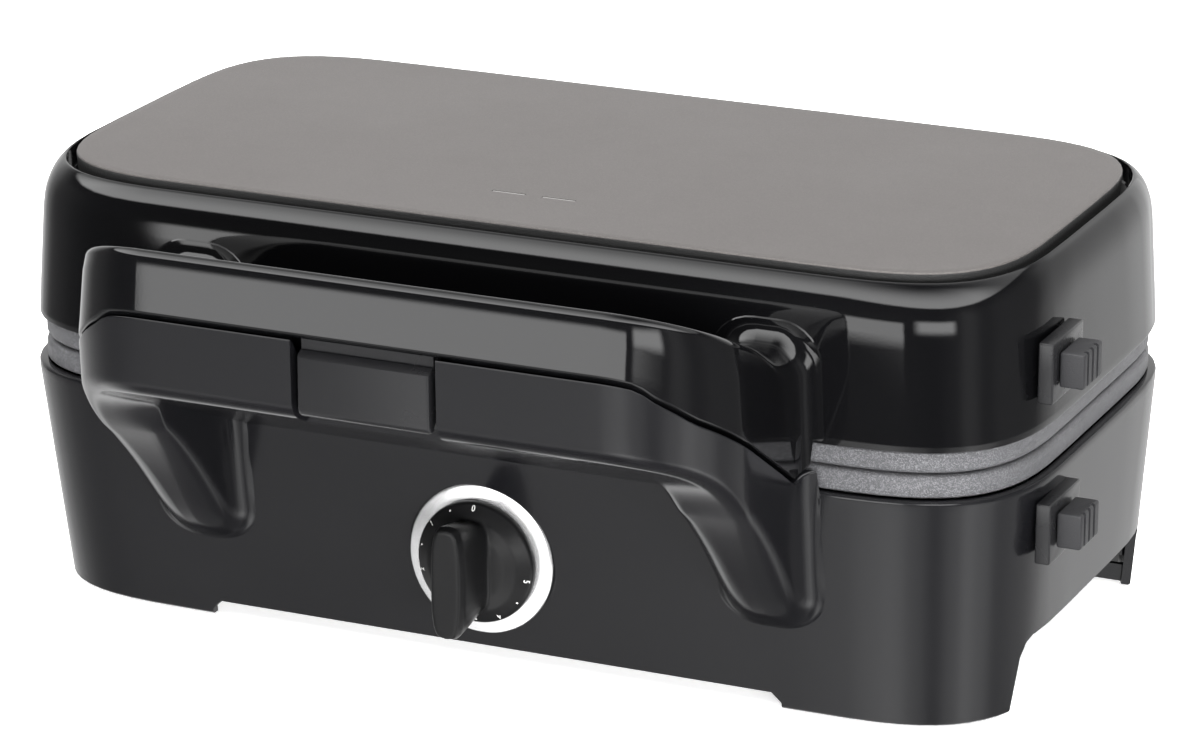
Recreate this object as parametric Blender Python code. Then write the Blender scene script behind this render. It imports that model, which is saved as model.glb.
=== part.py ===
"""Donut maker: a hinged baker with two removable ring-mould plates, a split carrying handle with a
latch clip, a rotary thermostat and a slide button on each half that lets its plate out.

All sizes are millimetres and MM turns them into metres. Positions are measured from the centre of the
body at floor level, +X to the right, +Y to the back, +Z up. The empty "product" then moves the whole
object so that the world origin is the bottom centre of its bounding box.
"""

import math

import bmesh
import bpy
from mathutils import Matrix, Vector

MM = 0.001
GAP = 0.3

# Driving heights.
RIM_Z = 67.2
PARTING_Z = 74.0
LID_Z = 80.6
DECK_Z = 118.6
LIP_Z = 124.4
TOP_Z = 126.2

# Outlines as width, depth and corner radius.
PLATE = (297.6, 157.6, 38.0)
BASE_TOP = (302.4, 162.4, 40.0)
BASE_FOOT = (294.0, 147.0, 38.0)
BASE_FOOT_Y = 2.3
LID_BOTTOM = (301.0, 161.0, 39.5)
LID_LIP = (291.6, 147.6, 39.5)
GROOVE = (288.6, 144.6, 38.0)
PANEL = (284.0, 140.0, 37.0)
WALL = 2.6
FLOOR_Z = 0.4
CORNER_STEPS = 7

# Handle: both halves share one plan and one parting surface.
HANDLE_FRONT = -147.0
HANDLE_BACK = -125.0
HANDLE_HALF = 96.0
ARM_INNER = 74.0
HANDLE_CORNER = 30.0
PARTING = [(-149.0, 115.2), (-145.2, 112.6), (-143.0, 108.9), (-137.0, 103.0), (-112.0, 87.3), (-87.0, 71.6)]

# Latch clip in the middle of the handle.
CLIP_HALF = 18.9
CLIP_SLOT_HALF = 20.8
CLIP_PIN = (-141.0, 118.0)

# Hinge at the back.
HINGE_Y = 88.0
HINGE_Z = 74.0
HINGE_X = 88.0
PIN_R = 2.5

# Thermostat knob on the front wall.
KNOB_Z = 32.2
KNOB_Y = -76.5
RING_R = 21.4
SKIRT_R = 17.4

# Plate release buttons on the right side wall.
BUTTON_Y = -40.0
LOWER_BUTTON_Z = 53.5
UPPER_BUTTON_Z = 98.2

# Ring moulds: three columns by two rows in each plate.
MOULD_X = 86.0
MOULD_Y = 32.6
MOULD_R = 20.5
MOULD_HALF = 9.5
MOULD_DEPTH = 12.0
MOULD_WALL = 2.3

# Move from the body centre to the bottom centre of the whole bounding box.
SHIFT = (-5.3, 27.25, 0.0)

COLORS = {
    "gloss_black": ((0.012, 0.012, 0.013), 0.16, 0.0),
    "satin_black": ((0.03, 0.03, 0.032), 0.38, 0.0),
    "matte_black": ((0.018, 0.018, 0.018), 0.62, 0.0),
    "panel_grey": ((0.23, 0.215, 0.205), 0.34, 0.2),
    "nonstick": ((0.085, 0.085, 0.09), 0.55, 0.45),
    "chrome": ((0.86, 0.86, 0.87), 0.08, 1.0),
    "steel": ((0.55, 0.55, 0.56), 0.32, 1.0),
    "aluminium": ((0.72, 0.73, 0.74), 0.36, 1.0),
    "rubber": ((0.022, 0.022, 0.022), 0.8, 0.0),
    "bakelite": ((0.06, 0.045, 0.035), 0.55, 0.0),
    "ceramic": ((0.78, 0.75, 0.68), 0.6, 0.0),
    "lens": ((0.42, 0.4, 0.37), 0.25, 0.0),
}


def clear_scene():
    for obj in list(bpy.data.objects):
        bpy.data.objects.remove(obj, do_unlink=True)


def material(slot):
    """The material of one finish, made on first use."""
    found = bpy.data.materials.get(slot)
    if found:
        return found
    color, roughness, metallic = COLORS[slot]
    made = bpy.data.materials.new(slot)
    made.use_nodes = True
    shader = made.node_tree.nodes["Principled BSDF"]
    shader.inputs["Base Color"].default_value = (*color, 1.0)
    shader.inputs["Roughness"].default_value = roughness
    shader.inputs["Metallic"].default_value = metallic
    made.diffuse_color = (*color, 1.0)
    return made


def place(name, bm, slot, pivot=(0.0, 0.0, 0.0), helper=False):
    """Turn a bmesh in millimetres into an object whose origin is at the pivot."""
    bmesh.ops.remove_doubles(bm, verts=bm.verts, dist=1e-4)
    bmesh.ops.recalc_face_normals(bm, faces=bm.faces)
    bmesh.ops.translate(bm, verts=bm.verts, vec=-Vector(pivot))
    bmesh.ops.scale(bm, verts=bm.verts, vec=(MM, MM, MM))
    mesh = bpy.data.meshes.new(name)
    bm.to_mesh(mesh)
    bm.free()
    mesh.shade_smooth()
    mesh.set_sharp_from_angle(angle=math.radians(32))
    mesh.materials.append(material(slot))
    obj = bpy.data.objects.new(name, mesh)
    bpy.context.scene.collection.objects.link(obj)
    obj.parent = bpy.data.objects["product"]
    obj.location = Vector(pivot) * MM
    if helper:
        obj.hide_render = True
        obj.display_type = "WIRE"
    return obj


def boolean(target, operation, helpers):
    for helper in helpers:
        step = target.modifiers.new(helper.name, "BOOLEAN")
        step.operation = operation
        step.solver = "EXACT"
        step.object = helper


# ---------------------------------------------------------------- shapes


def outline(z, size, y_centre=0.0, inset=0.0, steps=CORNER_STEPS):
    """A rounded rectangle at height z, counter-clockwise from the right rear corner."""
    width, depth, radius = size[0] - 2 * inset, size[1] - 2 * inset, max(size[2] - inset, 0.5)
    points = []
    for quarter, (sx, sy) in enumerate(((1, 1), (-1, 1), (-1, -1), (1, -1))):
        cx, cy = sx * (width / 2 - radius), sy * (depth / 2 - radius) + y_centre
        for step in range(steps + 1):
            angle = (quarter + step / steps) * math.pi / 2
            points.append((cx + radius * math.cos(angle), cy + radius * math.sin(angle), z))
    return points


def loft(rings, closed=False):
    """Skin a stack of rings. An open stack gets flat ends, a closed one joins its last ring to its first."""
    bm = bmesh.new()
    loops = [[bm.verts.new(point) for point in ring] for ring in rings]
    pairs = list(zip(loops, loops[1:] + loops[:1])) if closed else list(zip(loops, loops[1:]))
    for lower, upper in pairs:
        count = len(lower)
        for i in range(count):
            j = (i + 1) % count
            bm.faces.new((lower[i], lower[j], upper[j], upper[i]))
    if not closed:
        bm.faces.new(loops[0][::-1])
        bm.faces.new(loops[-1])
    return bm


def prism(points, axis, start, end):
    """Extrude a closed outline along X, Y or Z. The points are the other two coordinates in order."""
    bm = bmesh.new()
    index = "xyz".index(axis)
    verts = []
    for a, b in points:
        spot = [a, b]
        spot.insert(index, start)
        verts.append(bm.verts.new(spot))
    face = bm.faces.new(verts)
    along = Vector((0.0, 0.0, 0.0))
    along[index] = end - start
    grown = bmesh.ops.extrude_face_region(bm, geom=[face])["geom"]
    bmesh.ops.translate(bm, verts=[g for g in grown if isinstance(g, bmesh.types.BMVert)], vec=along)
    return bm


def block(low, high, bevel=0.0):
    """A box between two corners, with an optional small bevel on all its edges."""
    bm = bmesh.new()
    middle = [(a + b) / 2 for a, b in zip(low, high)]
    size = [b - a for a, b in zip(low, high)]
    bmesh.ops.create_cube(bm, size=1.0, matrix=Matrix.Translation(middle) @ Matrix.Diagonal((*size, 1.0)))
    if bevel:
        bmesh.ops.bevel(
            bm, geom=bm.edges[:], offset=bevel, segments=1, profile=0.5, affect="EDGES", material=-1
        )
    return bm


def turned(profile, centre, axis, segments=24, closed=False):
    """Spin a profile of (radius, height) points about an axis through the centre."""
    bm = bmesh.new()
    verts = [bm.verts.new((radius, 0.0, height)) for radius, height in profile]
    ends = list(zip(verts, verts[1:] + verts[:1])) if closed else list(zip(verts, verts[1:]))
    edges = [bm.edges.new(pair) for pair in ends]
    bmesh.ops.spin(
        bm, geom=verts + edges, cent=(0, 0, 0), axis=(0, 0, 1), angle=math.tau, steps=segments, use_merge=True
    )
    bmesh.ops.remove_doubles(bm, verts=bm.verts, dist=1e-4)
    flat = {height for (radius, height), (_, other) in zip(profile, profile[1:]) if height == other and radius == 0}
    flat |= {height for (_, other), (radius, height) in zip(profile, profile[1:]) if height == other and radius == 0}
    middles = [v for v in bm.verts if v.co.xy.length < 1e-5 and any(abs(v.co.z - height) < 1e-5 for height in flat)]
    bmesh.ops.dissolve_verts(bm, verts=middles)
    turn = Vector((0, 0, 1)).rotation_difference(Vector(axis)).to_matrix().to_4x4()
    bmesh.ops.transform(bm, matrix=Matrix.Translation(centre) @ turn, verts=bm.verts)
    return bm


def rod(centre, axis, radius, length, segments=16):
    """A plain cylinder about its centre."""
    half = length / 2
    return turned([(0, half), (radius, half), (radius, -half), (0, -half)], centre, axis, segments)


def cut(name, bm):
    return place("cut_" + name, bm, "steel", helper=True)


def add(name, bm):
    return place("add_" + name, bm, "steel", helper=True)


def tube(name, points, radius, slot, bevel_resolution=2):
    """A solid wire or pipe along points, with filled ends."""
    curve = bpy.data.curves.new(name, "CURVE")
    curve.dimensions = "3D"
    curve.bevel_depth = radius * MM
    curve.bevel_resolution = bevel_resolution
    curve.use_fill_caps = True
    spline = curve.splines.new("POLY")
    spline.points.add(len(points) - 1)
    for target, point in zip(spline.points, points):
        target.co = (*(Vector(point) * MM), 1.0)
    curve.materials.append(material(slot))
    obj = bpy.data.objects.new(name, curve)
    bpy.context.scene.collection.objects.link(obj)
    obj.parent = bpy.data.objects["product"]
    return obj


def coil(centre, axis_index, radius, turns, length, per_turn=10):
    """Points of a helix about one of the three axes, centred on the centre."""
    points = []
    total = int(turns * per_turn)
    for i in range(total + 1):
        angle = math.tau * i / per_turn
        spot = [radius * math.cos(angle), radius * math.sin(angle)]
        spot.insert(axis_index, length * (i / total - 0.5))
        points.append([c + s for c, s in zip(centre, spot)])
    return points


# ---------------------------------------------------------------- shared profiles


def base_outline(z, inset=0.0):
    """The base's outer outline, which tapers to the floor, at height z."""
    share = z / RIM_Z
    size = [foot + (top - foot) * share for foot, top in zip(BASE_FOOT, BASE_TOP)]
    return outline(z, size, BASE_FOOT_Y * (1 - share), inset)


def base_front(z):
    """Y of the front wall's outer face at height z."""
    share = z / RIM_Z
    depth = BASE_FOOT[1] + (BASE_TOP[1] - BASE_FOOT[1]) * share
    return BASE_FOOT_Y * (1 - share) - depth / 2


def handle_plan():
    """The handle's plan from above, rounded at its two front corners, as a tall prism."""
    points = [(HANDLE_HALF, -60.0), (-HANDLE_HALF, -60.0)]
    for side, first in ((-1, math.pi), (1, 1.5 * math.pi)):
        cx = side * (HANDLE_HALF - HANDLE_CORNER)
        cy = HANDLE_FRONT + HANDLE_CORNER
        for step in range(7):
            angle = first + step / 6 * math.pi / 2
            points.append((cx + HANDLE_CORNER * math.cos(angle), cy + HANDLE_CORNER * math.sin(angle)))
    return prism(points, "z", 10.0, 145.0)


# ---------------------------------------------------------------- base


def base_housing():
    rings = [base_outline(z) for z in (FLOOR_Z, 22.0, 45.0, RIM_Z)]
    rings += [base_outline(z, WALL) for z in (RIM_Z, 45.0, 22.0, FLOOR_Z)]
    housing = place("base_housing", loft(rings, closed=True), "satin_black")
    boolean(housing, "UNION", screw_bosses() + knob_seat() + [lower_handle()])
    boolean(housing, "DIFFERENCE", foot_cuts() + front_cuts() + [side_slot("lower_slot", LOWER_BUTTON_Z)])
    boolean(housing, "DIFFERENCE", [cut("inlet", rod((62.0, 78.0, 38.0), (0, 1, 0), 6.3, 20.0))])


def screw_spots():
    return [(x, y) for x in (-106.0, 106.0) for y in (-62.0, 66.0)]


def screw_bosses():
    """Posts on the inside of the front and back walls that take the bottom cover's screws."""
    bosses = []
    for i, (x, y) in enumerate(screw_spots()):
        low, high = (y - 9.3, y + 4.5) if y < 0 else (y - 4.5, y + 9.3)
        post = block((x - 4.5, low, 8.4), (x + 4.5, high, 40.0))
        bosses.append(add(f"boss_{i}", post))
    return bosses


def lower_handle():
    """Bar block, two slanting fins and the thin shelf behind the bar, all trimmed to the plan."""
    top = [(y, z - 0.5) for y, z in PARTING]
    rear = [(-81.1, 73.4), (-81.1, 67.0), (base_front(66.0) + 1.2, 66.0)]
    strap = [(base_front(24.5) + 1.2, 24.5), (-76.8, 24.8), (-83.0, 29.2), (-94.0, 43.5), (-106.0, 59.0)]
    strap += [(-120.0, 72.6), (-134.0, 86.0), (-142.5, 89.9), (-145.6, 92.4), (-149.0, 101.6)]
    handle = add("lower_handle", prism(top + rear + strap, "x", -100.0, 100.0))
    boolean(handle, "INTERSECT", [add("lower_plan", handle_plan())])
    below = prism([(-143.2, 90.2), (-70.0, 58.7), (-70.0, 10.0), (-143.2, 10.0)], "x", -ARM_INNER, ARM_INNER)
    above = prism([(HANDLE_BACK, 86.4), (HANDLE_BACK, 120.0), (-70.0, 120.0), (-70.0, 62.3)], "x", -ARM_INNER, ARM_INNER)
    clip_gap = block((-CLIP_SLOT_HALF, -150.0, 80.0), (CLIP_SLOT_HALF, -138.0, 116.0))
    boolean(handle, "DIFFERENCE", [cut("under_shelf", below), cut("finger_gap", above), cut("clip_gap", clip_gap)])
    return handle


def knob_seat():
    """A wedge behind the leaning front wall and a round pad on it, which give the knob an upright seat."""
    wedge = [(-72.3, 14.0), (base_front(14.0) + 0.8, 14.0), (base_front(57.0) + 0.8, 57.0), (-73.4, 57.0)]
    pad = rod((0.0, KNOB_Y + 2.0, KNOB_Z), (0, 1, 0), RING_R + 0.1, 3.4, 36)
    return [add("seat_wedge", prism(wedge, "x", -25.0, 25.0)), add("seat_pad", pad)]


def foot_cuts():
    """Openings under the walls that leave a foot at each corner."""
    front = block((-86.5, -90.0, -5.0), (86.5, -50.0, 4.8))
    back = block((-86.5, 50.0, -5.0), (86.5, 95.0, 9.0))
    side = [(-50.0, -5.0), (55.5, -5.0), (55.5, 12.0), (57.5, 21.0), (-46.0, 21.0), (-48.5, 16.0)]
    return [cut("front_gap", front), cut("back_gap", back), cut("side_gap", prism(side, "x", -160.0, 160.0))]


def front_cuts():
    """The hole for the thermostat shaft and four blind screw holes in the posts."""
    cuts = [cut("shaft_hole", rod((0.0, -75.0, KNOB_Z), (0, 1, 0), 5.2, 16.0))]
    recess = rod((0.0, KNOB_Y + 0.2 - 6.0, KNOB_Z), (0, 1, 0), RING_R + 0.5, 12.0, 36)
    cuts.append(cut("knob_recess", recess))
    for i, (x, y) in enumerate(screw_spots()):
        cuts.append(cut(f"screw_hole_{i}", rod((x, y, 14.0), (0, 0, 1), 2.0, 22.0, 12)))
    return cuts


def side_slot(name, z):
    """The slot in the right wall that a release button's stem slides in."""
    return cut(name, block((140.0, BUTTON_Y - 5.8, z - 3.5), (158.0, BUTTON_Y + 6.4, z + 3.5)))


def bottom_cover():
    """One moulded floor: high between the side openings, low behind the front and back walls."""
    top = [(-90.0, 8.0), (-50.4, 8.0), (-46.2, 24.2), (57.4, 24.2), (59.4, 8.0), (95.0, 8.0)]
    bottom = [(95.0, 6.0), (57.6, 6.0), (55.7, 22.2), (-44.6, 22.2), (-48.8, 6.0), (-90.0, 6.0)]
    cover = place("bottom_cover", prism(top + bottom, "x", -170.0, 170.0), "matte_black")
    inside = [base_outline(z, WALL + GAP) for z in (1.0, 40.0)]
    boolean(cover, "INTERSECT", [add("cover_trim", loft(inside))])
    holes = [
        cut(f"cover_hole_{i}", rod((x, y, 7.0), (0, 0, 1), 2.2, 8.0, 12)) for i, (x, y) in enumerate(screw_spots())
    ]
    vents = [
        cut(f"vent_{i}", block((-66.0 + 22 * i, -18.0, 20.0), (-62.0 + 22 * i, 18.0, 27.0))) for i in range(7)
    ]
    boolean(cover, "DIFFERENCE", holes + vents)


def screws():
    profile = [(0, 24.0), (1.6, 24.0), (1.6, 5.7), (3.6, 5.7), (3.6, 4.4), (2.6, 3.4), (0, 3.4)]
    for i, (x, y) in enumerate(screw_spots()):
        place(f"cover_screw_{i + 1}", turned(profile, (x, y, 0), (0, 0, 1), 12), "steel", (x, y, 5.7))


def foot_pads():
    """Rubber pads inside the corner skirts that carry the weight."""
    profile = [(0, 5.7), (6.5, 5.7), (7.0, 4.5), (6.2, 0.0), (0, 0.0)]
    for side, x in (("left", -118.0), ("right", 118.0)):
        for end, y in (("front", -57.0), ("rear", 64.0)):
            bm = turned(profile, (x, y, 0), (0, 0, 1), 16)
            place(f"foot_pad_{end}_{side}", bm, "rubber", (x, y, 0))


def reflector(name, low, high, size):
    """A thin pressed tray with its flat deck at low and its open edge at high."""
    thick = 0.8 if high > low else -0.8
    rings = [
        outline(low + thick, size, inset=4.8),
        outline(low + 3 * thick, size, inset=2.0),
        outline(high, size, inset=1.2),
        outline(high, size, inset=0.2),
        outline(low + 3 * thick, size, inset=0.9),
        outline(low, size, inset=4.0),
    ]
    tray = place(name, loft(rings), "aluminium")
    notch = block((-20.0, 64.0, min(low, high) - 4.0), (20.0, 82.0, max(low, high) + 4.0))
    boolean(tray, "DIFFERENCE", [cut(f"{name}_notch", notch)])


def heating_element(name, z, drop):
    """A tubular heater in one loop round the moulds, with both ends turned away from the plate."""
    half_x, half_y, radius = 129.6, 70.4, 26.0
    points = [(-13.0, half_y, z + drop), (-13.0, half_y, z + drop * 0.25), (-17.0, half_y, z)]
    for quarter, (sx, sy) in enumerate(((-1, 1), (-1, -1), (1, -1), (1, 1))):
        for step in range(6):
            angle = math.pi / 2 * (quarter + 1 + step / 5)
            cx, cy = sx * (half_x - radius), sy * (half_y - radius)
            points.append((cx + radius * math.cos(angle), cy + radius * math.sin(angle), z))
    points += [(17.0, half_y, z), (13.0, half_y, z + drop * 0.25), (13.0, half_y, z + drop)]
    tube(name, points, 2.9, "steel")


def mould_centres():
    return [(column * MOULD_X, row * MOULD_Y) for column in (-1, 0, 1) for row in (-1, 1)]


def baking_plate(name, face_z, up):
    """A die-cast plate with six ring moulds. up is +1 if the moulds bulge upwards, -1 if downwards."""
    floor = face_z + up * 0.9
    back = floor + up * 3.0
    rim = face_z + up * 6.1
    rings = [
        outline(floor, PLATE, inset=7.0),
        outline(face_z, PLATE, inset=5.6),
        outline(face_z, PLATE, inset=1.2),
        outline(face_z + up * 1.2, PLATE),
        outline(rim, PLATE),
        outline(rim, PLATE, inset=5.0),
        outline(back, PLATE, inset=7.2),
    ]
    plate = place(name, loft(rings), "nonstick")
    outer, inner = MOULD_HALF + MOULD_WALL, MOULD_HALF
    cups, grooves = [], []
    for i, (x, y) in enumerate(mould_centres()):
        cup = [(0, up * 0.6)]
        cup += [(0, up * 3.0), (MOULD_R - outer * 0.9, up * 6.0), (MOULD_R - outer * 0.5, up * (MOULD_DEPTH + 1.5))]
        cup += [(MOULD_R + outer * 0.5, up * (MOULD_DEPTH + 1.5)), (MOULD_R + outer, up * 6.0)]
        cup += [(MOULD_R + outer, up * 0.6)]
        groove = [(MOULD_R - inner, -up * 2.0)]
        for step in range(7):
            angle = math.pi * step / 6
            groove.append((MOULD_R - inner * math.cos(angle), up * MOULD_DEPTH * math.sin(angle)))
        groove.append((MOULD_R + inner, -up * 2.0))
        cups.append(add(f"{name}_cup_{i}", turned(cup, (x, y, floor), (0, 0, 1), 20)))
        grooves.append(cut(f"{name}_groove_{i}", turned(groove, (x, y, floor), (0, 0, 1), 20, closed=True)))
    boolean(plate, "UNION", cups)
    boolean(plate, "DIFFERENCE", grooves)


def release_set(half, z, wall_x, slot):
    """Bezel, slide button with its inner hook, and the return spring of one plate release."""
    y = BUTTON_Y
    x = wall_x + GAP
    bezel = place(f"{half}_release_bezel", block((x, y - 12, z - 8.4), (x + 4.4, y + 12, z + 8.4), 0.6), slot)
    window = block((x - 2, y - 5.8, z - 3.5), (x + 6, y + 6.4, z + 3.5))
    boolean(bezel, "DIFFERENCE", [cut(f"{half}_bezel_window", window)])
    up = 1 if half == "lower" else -1
    face = x + 4.4 + GAP
    grip = block((face, y - 8.0, z - 4.0), (face + 6.0, y + 7.4, z + 5.2), 0.9)
    button = place(f"{half}_release_button", grip, "matte_black", (face, y, z))
    stem = block((138.2, y - 5.2, z - 2.9), (face + 1.0, y - 0.2, z + 2.9))
    tongue = block((136.0, y - 9.0, z - 3.6), (140.2, y + 4.0, z + 3.6))
    arm = block((136.0, y - 7.0, min(z, z + up * 10.0)), (139.6, y + 2.0, max(z, z + up * 10.0)))
    pieces = [("stem", stem), ("tongue", tongue), ("arm", arm)]
    boolean(button, "UNION", [add(f"{half}_button_{label}", bm) for label, bm in pieces])
    grooves = []
    for i in range(3):
        start = y - 4.6 + 3.6 * i
        grooves.append(cut(f"{half}_grip_{i}", block((face + 4.9, start, z - 6), (face + 8, start + 1.4, z + 7))))
    boolean(button, "DIFFERENCE", grooves)
    tube(f"{half}_release_spring", coil((136.6, y - 15.6, z), 1, 2.0, 6, 12.0), 0.4, "steel", 1)


def thermostat():
    """Capillary-free bimetal thermostat: case behind the wall, shaft through it, knob and trim ring."""
    case = block((-13.0, -71.0, KNOB_Z - 7.4), (13.0, -50.0, KNOB_Z + 13.0), 1.0)
    body = place("thermostat_body", case, "bakelite")
    bore = rod((0.0, -68.0, KNOB_Z), (0, 1, 0), 3.5, 14.0)
    boolean(body, "DIFFERENCE", [cut("thermostat_bore", bore)])
    shaft = rod((0.0, -74.8, KNOB_Z), (0, 1, 0), 3.0, 22.4)
    place("thermostat_shaft", shaft, "steel", (0.0, KNOB_Y, KNOB_Z))


def control_knob():
    centre = (0.0, KNOB_Y, KNOB_Z)
    ring = [(18.0, 1.1), (RING_R - 0.6, 1.1), (RING_R, 0.5), (RING_R, 0.1), (18.0, 0.1)]
    place("knob_ring", turned(ring, centre, (0, -1, 0), 40, closed=True), "chrome", centre)
    skirt = [(0, 8.6), (8.0, 8.4), (13.0, 7.0), (15.0, 5.4), (SKIRT_R - 0.3, 4.5), (SKIRT_R, 4.0), (SKIRT_R, 0.6), (0, 0.6)]
    knob = place("control_knob", turned(skirt, centre, (0, -1, 0), 32), "satin_black", centre)
    grip = [(-5.3, -14.4), (-3.6, -16.4), (3.6, -16.4), (5.3, -14.4), (5.3, 14.4), (3.6, 16.4)]
    grip += [(-3.6, 16.4), (-5.3, 14.4)]
    bar = prism([(x, z + KNOB_Z) for x, z in grip], "y", KNOB_Y - 3.0, KNOB_Y - 23.5)
    boolean(knob, "UNION", [add("knob_grip", bar)])
    boolean(knob, "DIFFERENCE", [cut("knob_bore", rod((0, KNOB_Y - 4.5, KNOB_Z), (0, 1, 0), 3.3, 11.0))])


def electrics():
    """Terminal block, thermal cut-out and the gland that the mains lead passes."""
    place("terminal_block", block((30.0, 46.0, 24.6), (66.0, 58.0, 36.0), 0.8), "ceramic")
    place("thermal_fuse", rod((-50.0, 40.0, 29.0), (1, 0, 0), 3.6, 26.0, 12), "ceramic", (-50.0, 40.0, 29.0))
    wall = -base_front(38.0) + BASE_FOOT_Y * 2 * (1 - 38.0 / RIM_Z)
    gland = [(3.6, 9.0), (7.0, 9.0), (8.6, 5.0), (8.6, 1.0), (6.0, 1.0), (6.0, -5.0), (3.6, -5.0)]
    place("cord_gland", turned(gland, (62.0, wall, 38.0), (0, 1, 0), 20, closed=True), "rubber", (62.0, wall, 38.0))


# ---------------------------------------------------------------- hinge


def hinges():
    for side, x in (("left", -HINGE_X), ("right", HINGE_X)):
        pivot = (x, HINGE_Y, HINGE_Z)
        base_side(side, x, pivot)
        lid_side(side, x, pivot)
        pin = [(0, 15.4), (3.6, 15.4), (3.6, 14.2), (PIN_R, 14.2), (PIN_R, -14.6), (0, -14.6)]
        outward = (1 if x > 0 else -1, 0, 0)
        place(f"hinge_pin_{side}", turned(pin, pivot, outward, 20), "steel", pivot)


def base_side(side, x, pivot):
    """Bracket screwed to the base's back wall: a plate and two ears with the pin's holes."""
    ear = [(81.6, 50.0), (84.0, 50.0), (HINGE_Y + 4.6, HINGE_Z - 2.6), (HINGE_Y + 4.6, HINGE_Z + 2.6)]
    ear += [(HINGE_Y + 2.6, HINGE_Z + 4.6), (HINGE_Y - 2.6, HINGE_Z + 4.6), (83.4, HINGE_Z + 2.0)]
    ear += [(83.4, 67.6), (81.6, 67.0)]
    bracket = place(f"hinge_bracket_{side}", prism(ear, "x", x - 13.6, x - 7.4), "satin_black", pivot)
    other = add(f"bracket_ear_{side}", prism(ear, "x", x + 7.4, x + 13.6))
    plate = add(f"bracket_plate_{side}", block((x - 10.0, 81.7, 50.4), (x + 10.0, 83.9, 65.0)))
    hole = cut(f"bracket_hole_{side}", rod(pivot, (1, 0, 0), PIN_R + 0.2, 40.0, 20))
    boolean(bracket, "UNION", [other, plate])
    boolean(bracket, "DIFFERENCE", [hole])


def lid_side(side, x, pivot):
    """Arm screwed to the lid's back wall, which swings on the pin between the bracket's ears."""
    arm = [(81.0, LID_Z + 1.0), (83.6, 78.0), (83.6, 72.0), (HINGE_Y - 2.4, HINGE_Z - 4.4)]
    arm += [(HINGE_Y + 2.4, HINGE_Z - 4.4), (HINGE_Y + 4.6, HINGE_Z - 2.0), (HINGE_Y + 4.6, HINGE_Z + 2.4)]
    arm += [(84.4, 86.0), (83.4, 100.0), (81.0, 100.0)]
    hinge_arm = place(f"lid_hinge_arm_{side}", prism(arm, "x", x - 7.0, x + 7.0), "gloss_black", pivot)
    hole = cut(f"arm_hole_{side}", rod(pivot, (1, 0, 0), PIN_R + 0.35, 40.0, 20))
    boolean(hinge_arm, "DIFFERENCE", [hole])


# ---------------------------------------------------------------- lid


def lid_housing():
    shoulder = [(112.0, 298.4, 158.2, 39.5), (118.0, 297.4, 156.4, 39.5), (122.0, 294.8, 152.4, 39.5)]
    rings = [outline(DECK_Z, GROOVE, inset=0.2), outline(LIP_Z, GROOVE), outline(LIP_Z, LID_LIP, inset=0.4)]
    rings += [outline(LIP_Z - 0.5, LID_LIP)]
    rings += [outline(z, (w, d, r)) for z, w, d, r in reversed(shoulder)]
    rings += [outline(LID_Z, LID_BOTTOM), outline(LID_Z, LID_BOTTOM, inset=WALL)]
    rings += [outline(112.0, shoulder[0][1:], inset=WALL), outline(DECK_Z - 2.4, GROOVE, inset=3.0)]
    housing = place("lid_housing", loft(rings), "gloss_black", (0.0, HINGE_Y, HINGE_Z))
    boolean(housing, "UNION", [upper_handle()])
    lens_cuts = [
        cut(f"lens_hole_{i}", block((x - 6.0, LENS_Y - 1.6, 110.0), (x + 6.0, LENS_Y + 1.6, 125.0)))
        for i, x in enumerate(LENS_X)
    ]
    boolean(housing, "DIFFERENCE", [side_slot("upper_slot", UPPER_BUTTON_Z)] + lens_cuts)


def upper_handle():
    """Bar and two arms over the same plan as the lower half, with the clip's pocket in the bar."""
    top = [(-78.0, 106.0), (-84.0, 106.2), (-93.0, 107.6), (-145.4, 130.7), (-149.0, 127.8)]
    bottom = [(y, z + 0.5) for y, z in PARTING]
    rear = [(-81.6, 74.0), (-81.2, 81.4), (-78.4, 82.2)]
    handle = add("upper_handle", prism(top + bottom + rear, "x", -100.0, 100.0))
    boolean(handle, "INTERSECT", [add("upper_plan", handle_plan())])
    opening = block((-ARM_INNER, HANDLE_BACK, 60.0), (ARM_INNER, -60.0, 140.0))
    pocket = [(-145.8, 100.0), (-136.4, 96.0), (-136.4, 123.0), (-145.8, 123.0)]
    pocket_cut = cut("clip_pocket", prism(pocket, "x", -24.6, 24.6))
    pin_hole = cut("pin_hole", rod((0.0, *CLIP_PIN), (1, 0, 0), 1.8, 57.0, 12))
    boolean(handle, "DIFFERENCE", [cut("handle_opening", opening), pocket_cut, pin_hole])
    return handle


LENS_X = (-7.0, 8.0)
LENS_Y = -42.9


def top_panel():
    rings = [outline(TOP_Z - 2.4, PANEL, inset=3.0), outline(DECK_Z + GAP, PANEL, inset=2.6)]
    rings += [outline(DECK_Z + GAP, PANEL, inset=0.6), outline(TOP_Z - 0.8, PANEL), outline(TOP_Z, PANEL, inset=0.7)]
    panel = place("top_panel", loft(rings), "panel_grey", (0.0, HINGE_Y, HINGE_Z))
    holes = [
        cut(f"panel_slit_{i}", block((x - 5.4, LENS_Y - 0.9, 110.0), (x + 5.4, LENS_Y + 0.9, 130.0)))
        for i, x in enumerate(LENS_X)
    ]
    boolean(panel, "DIFFERENCE", holes)


def indicators():
    """Two light pipes that show the lamps through slits in the panel, and the strip that holds them."""
    for side, x in zip(("left", "right"), LENS_X):
        pipe = block((x - 5.0, LENS_Y - 0.55, DECK_Z - 3.0), (x + 5.0, LENS_Y + 0.55, TOP_Z - 0.1))
        place(f"indicator_lens_{side}", pipe, "lens", (0.0, HINGE_Y, HINGE_Z))
    centre = sum(LENS_X) / 2
    strip = block((centre - 18.0, LENS_Y - 6.0, 110.6), (centre + 18.0, LENS_Y + 6.0, DECK_Z - 3.4), 0.5)
    place("lamp_holder", strip, "matte_black", (0.0, HINGE_Y, HINGE_Z))


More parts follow.
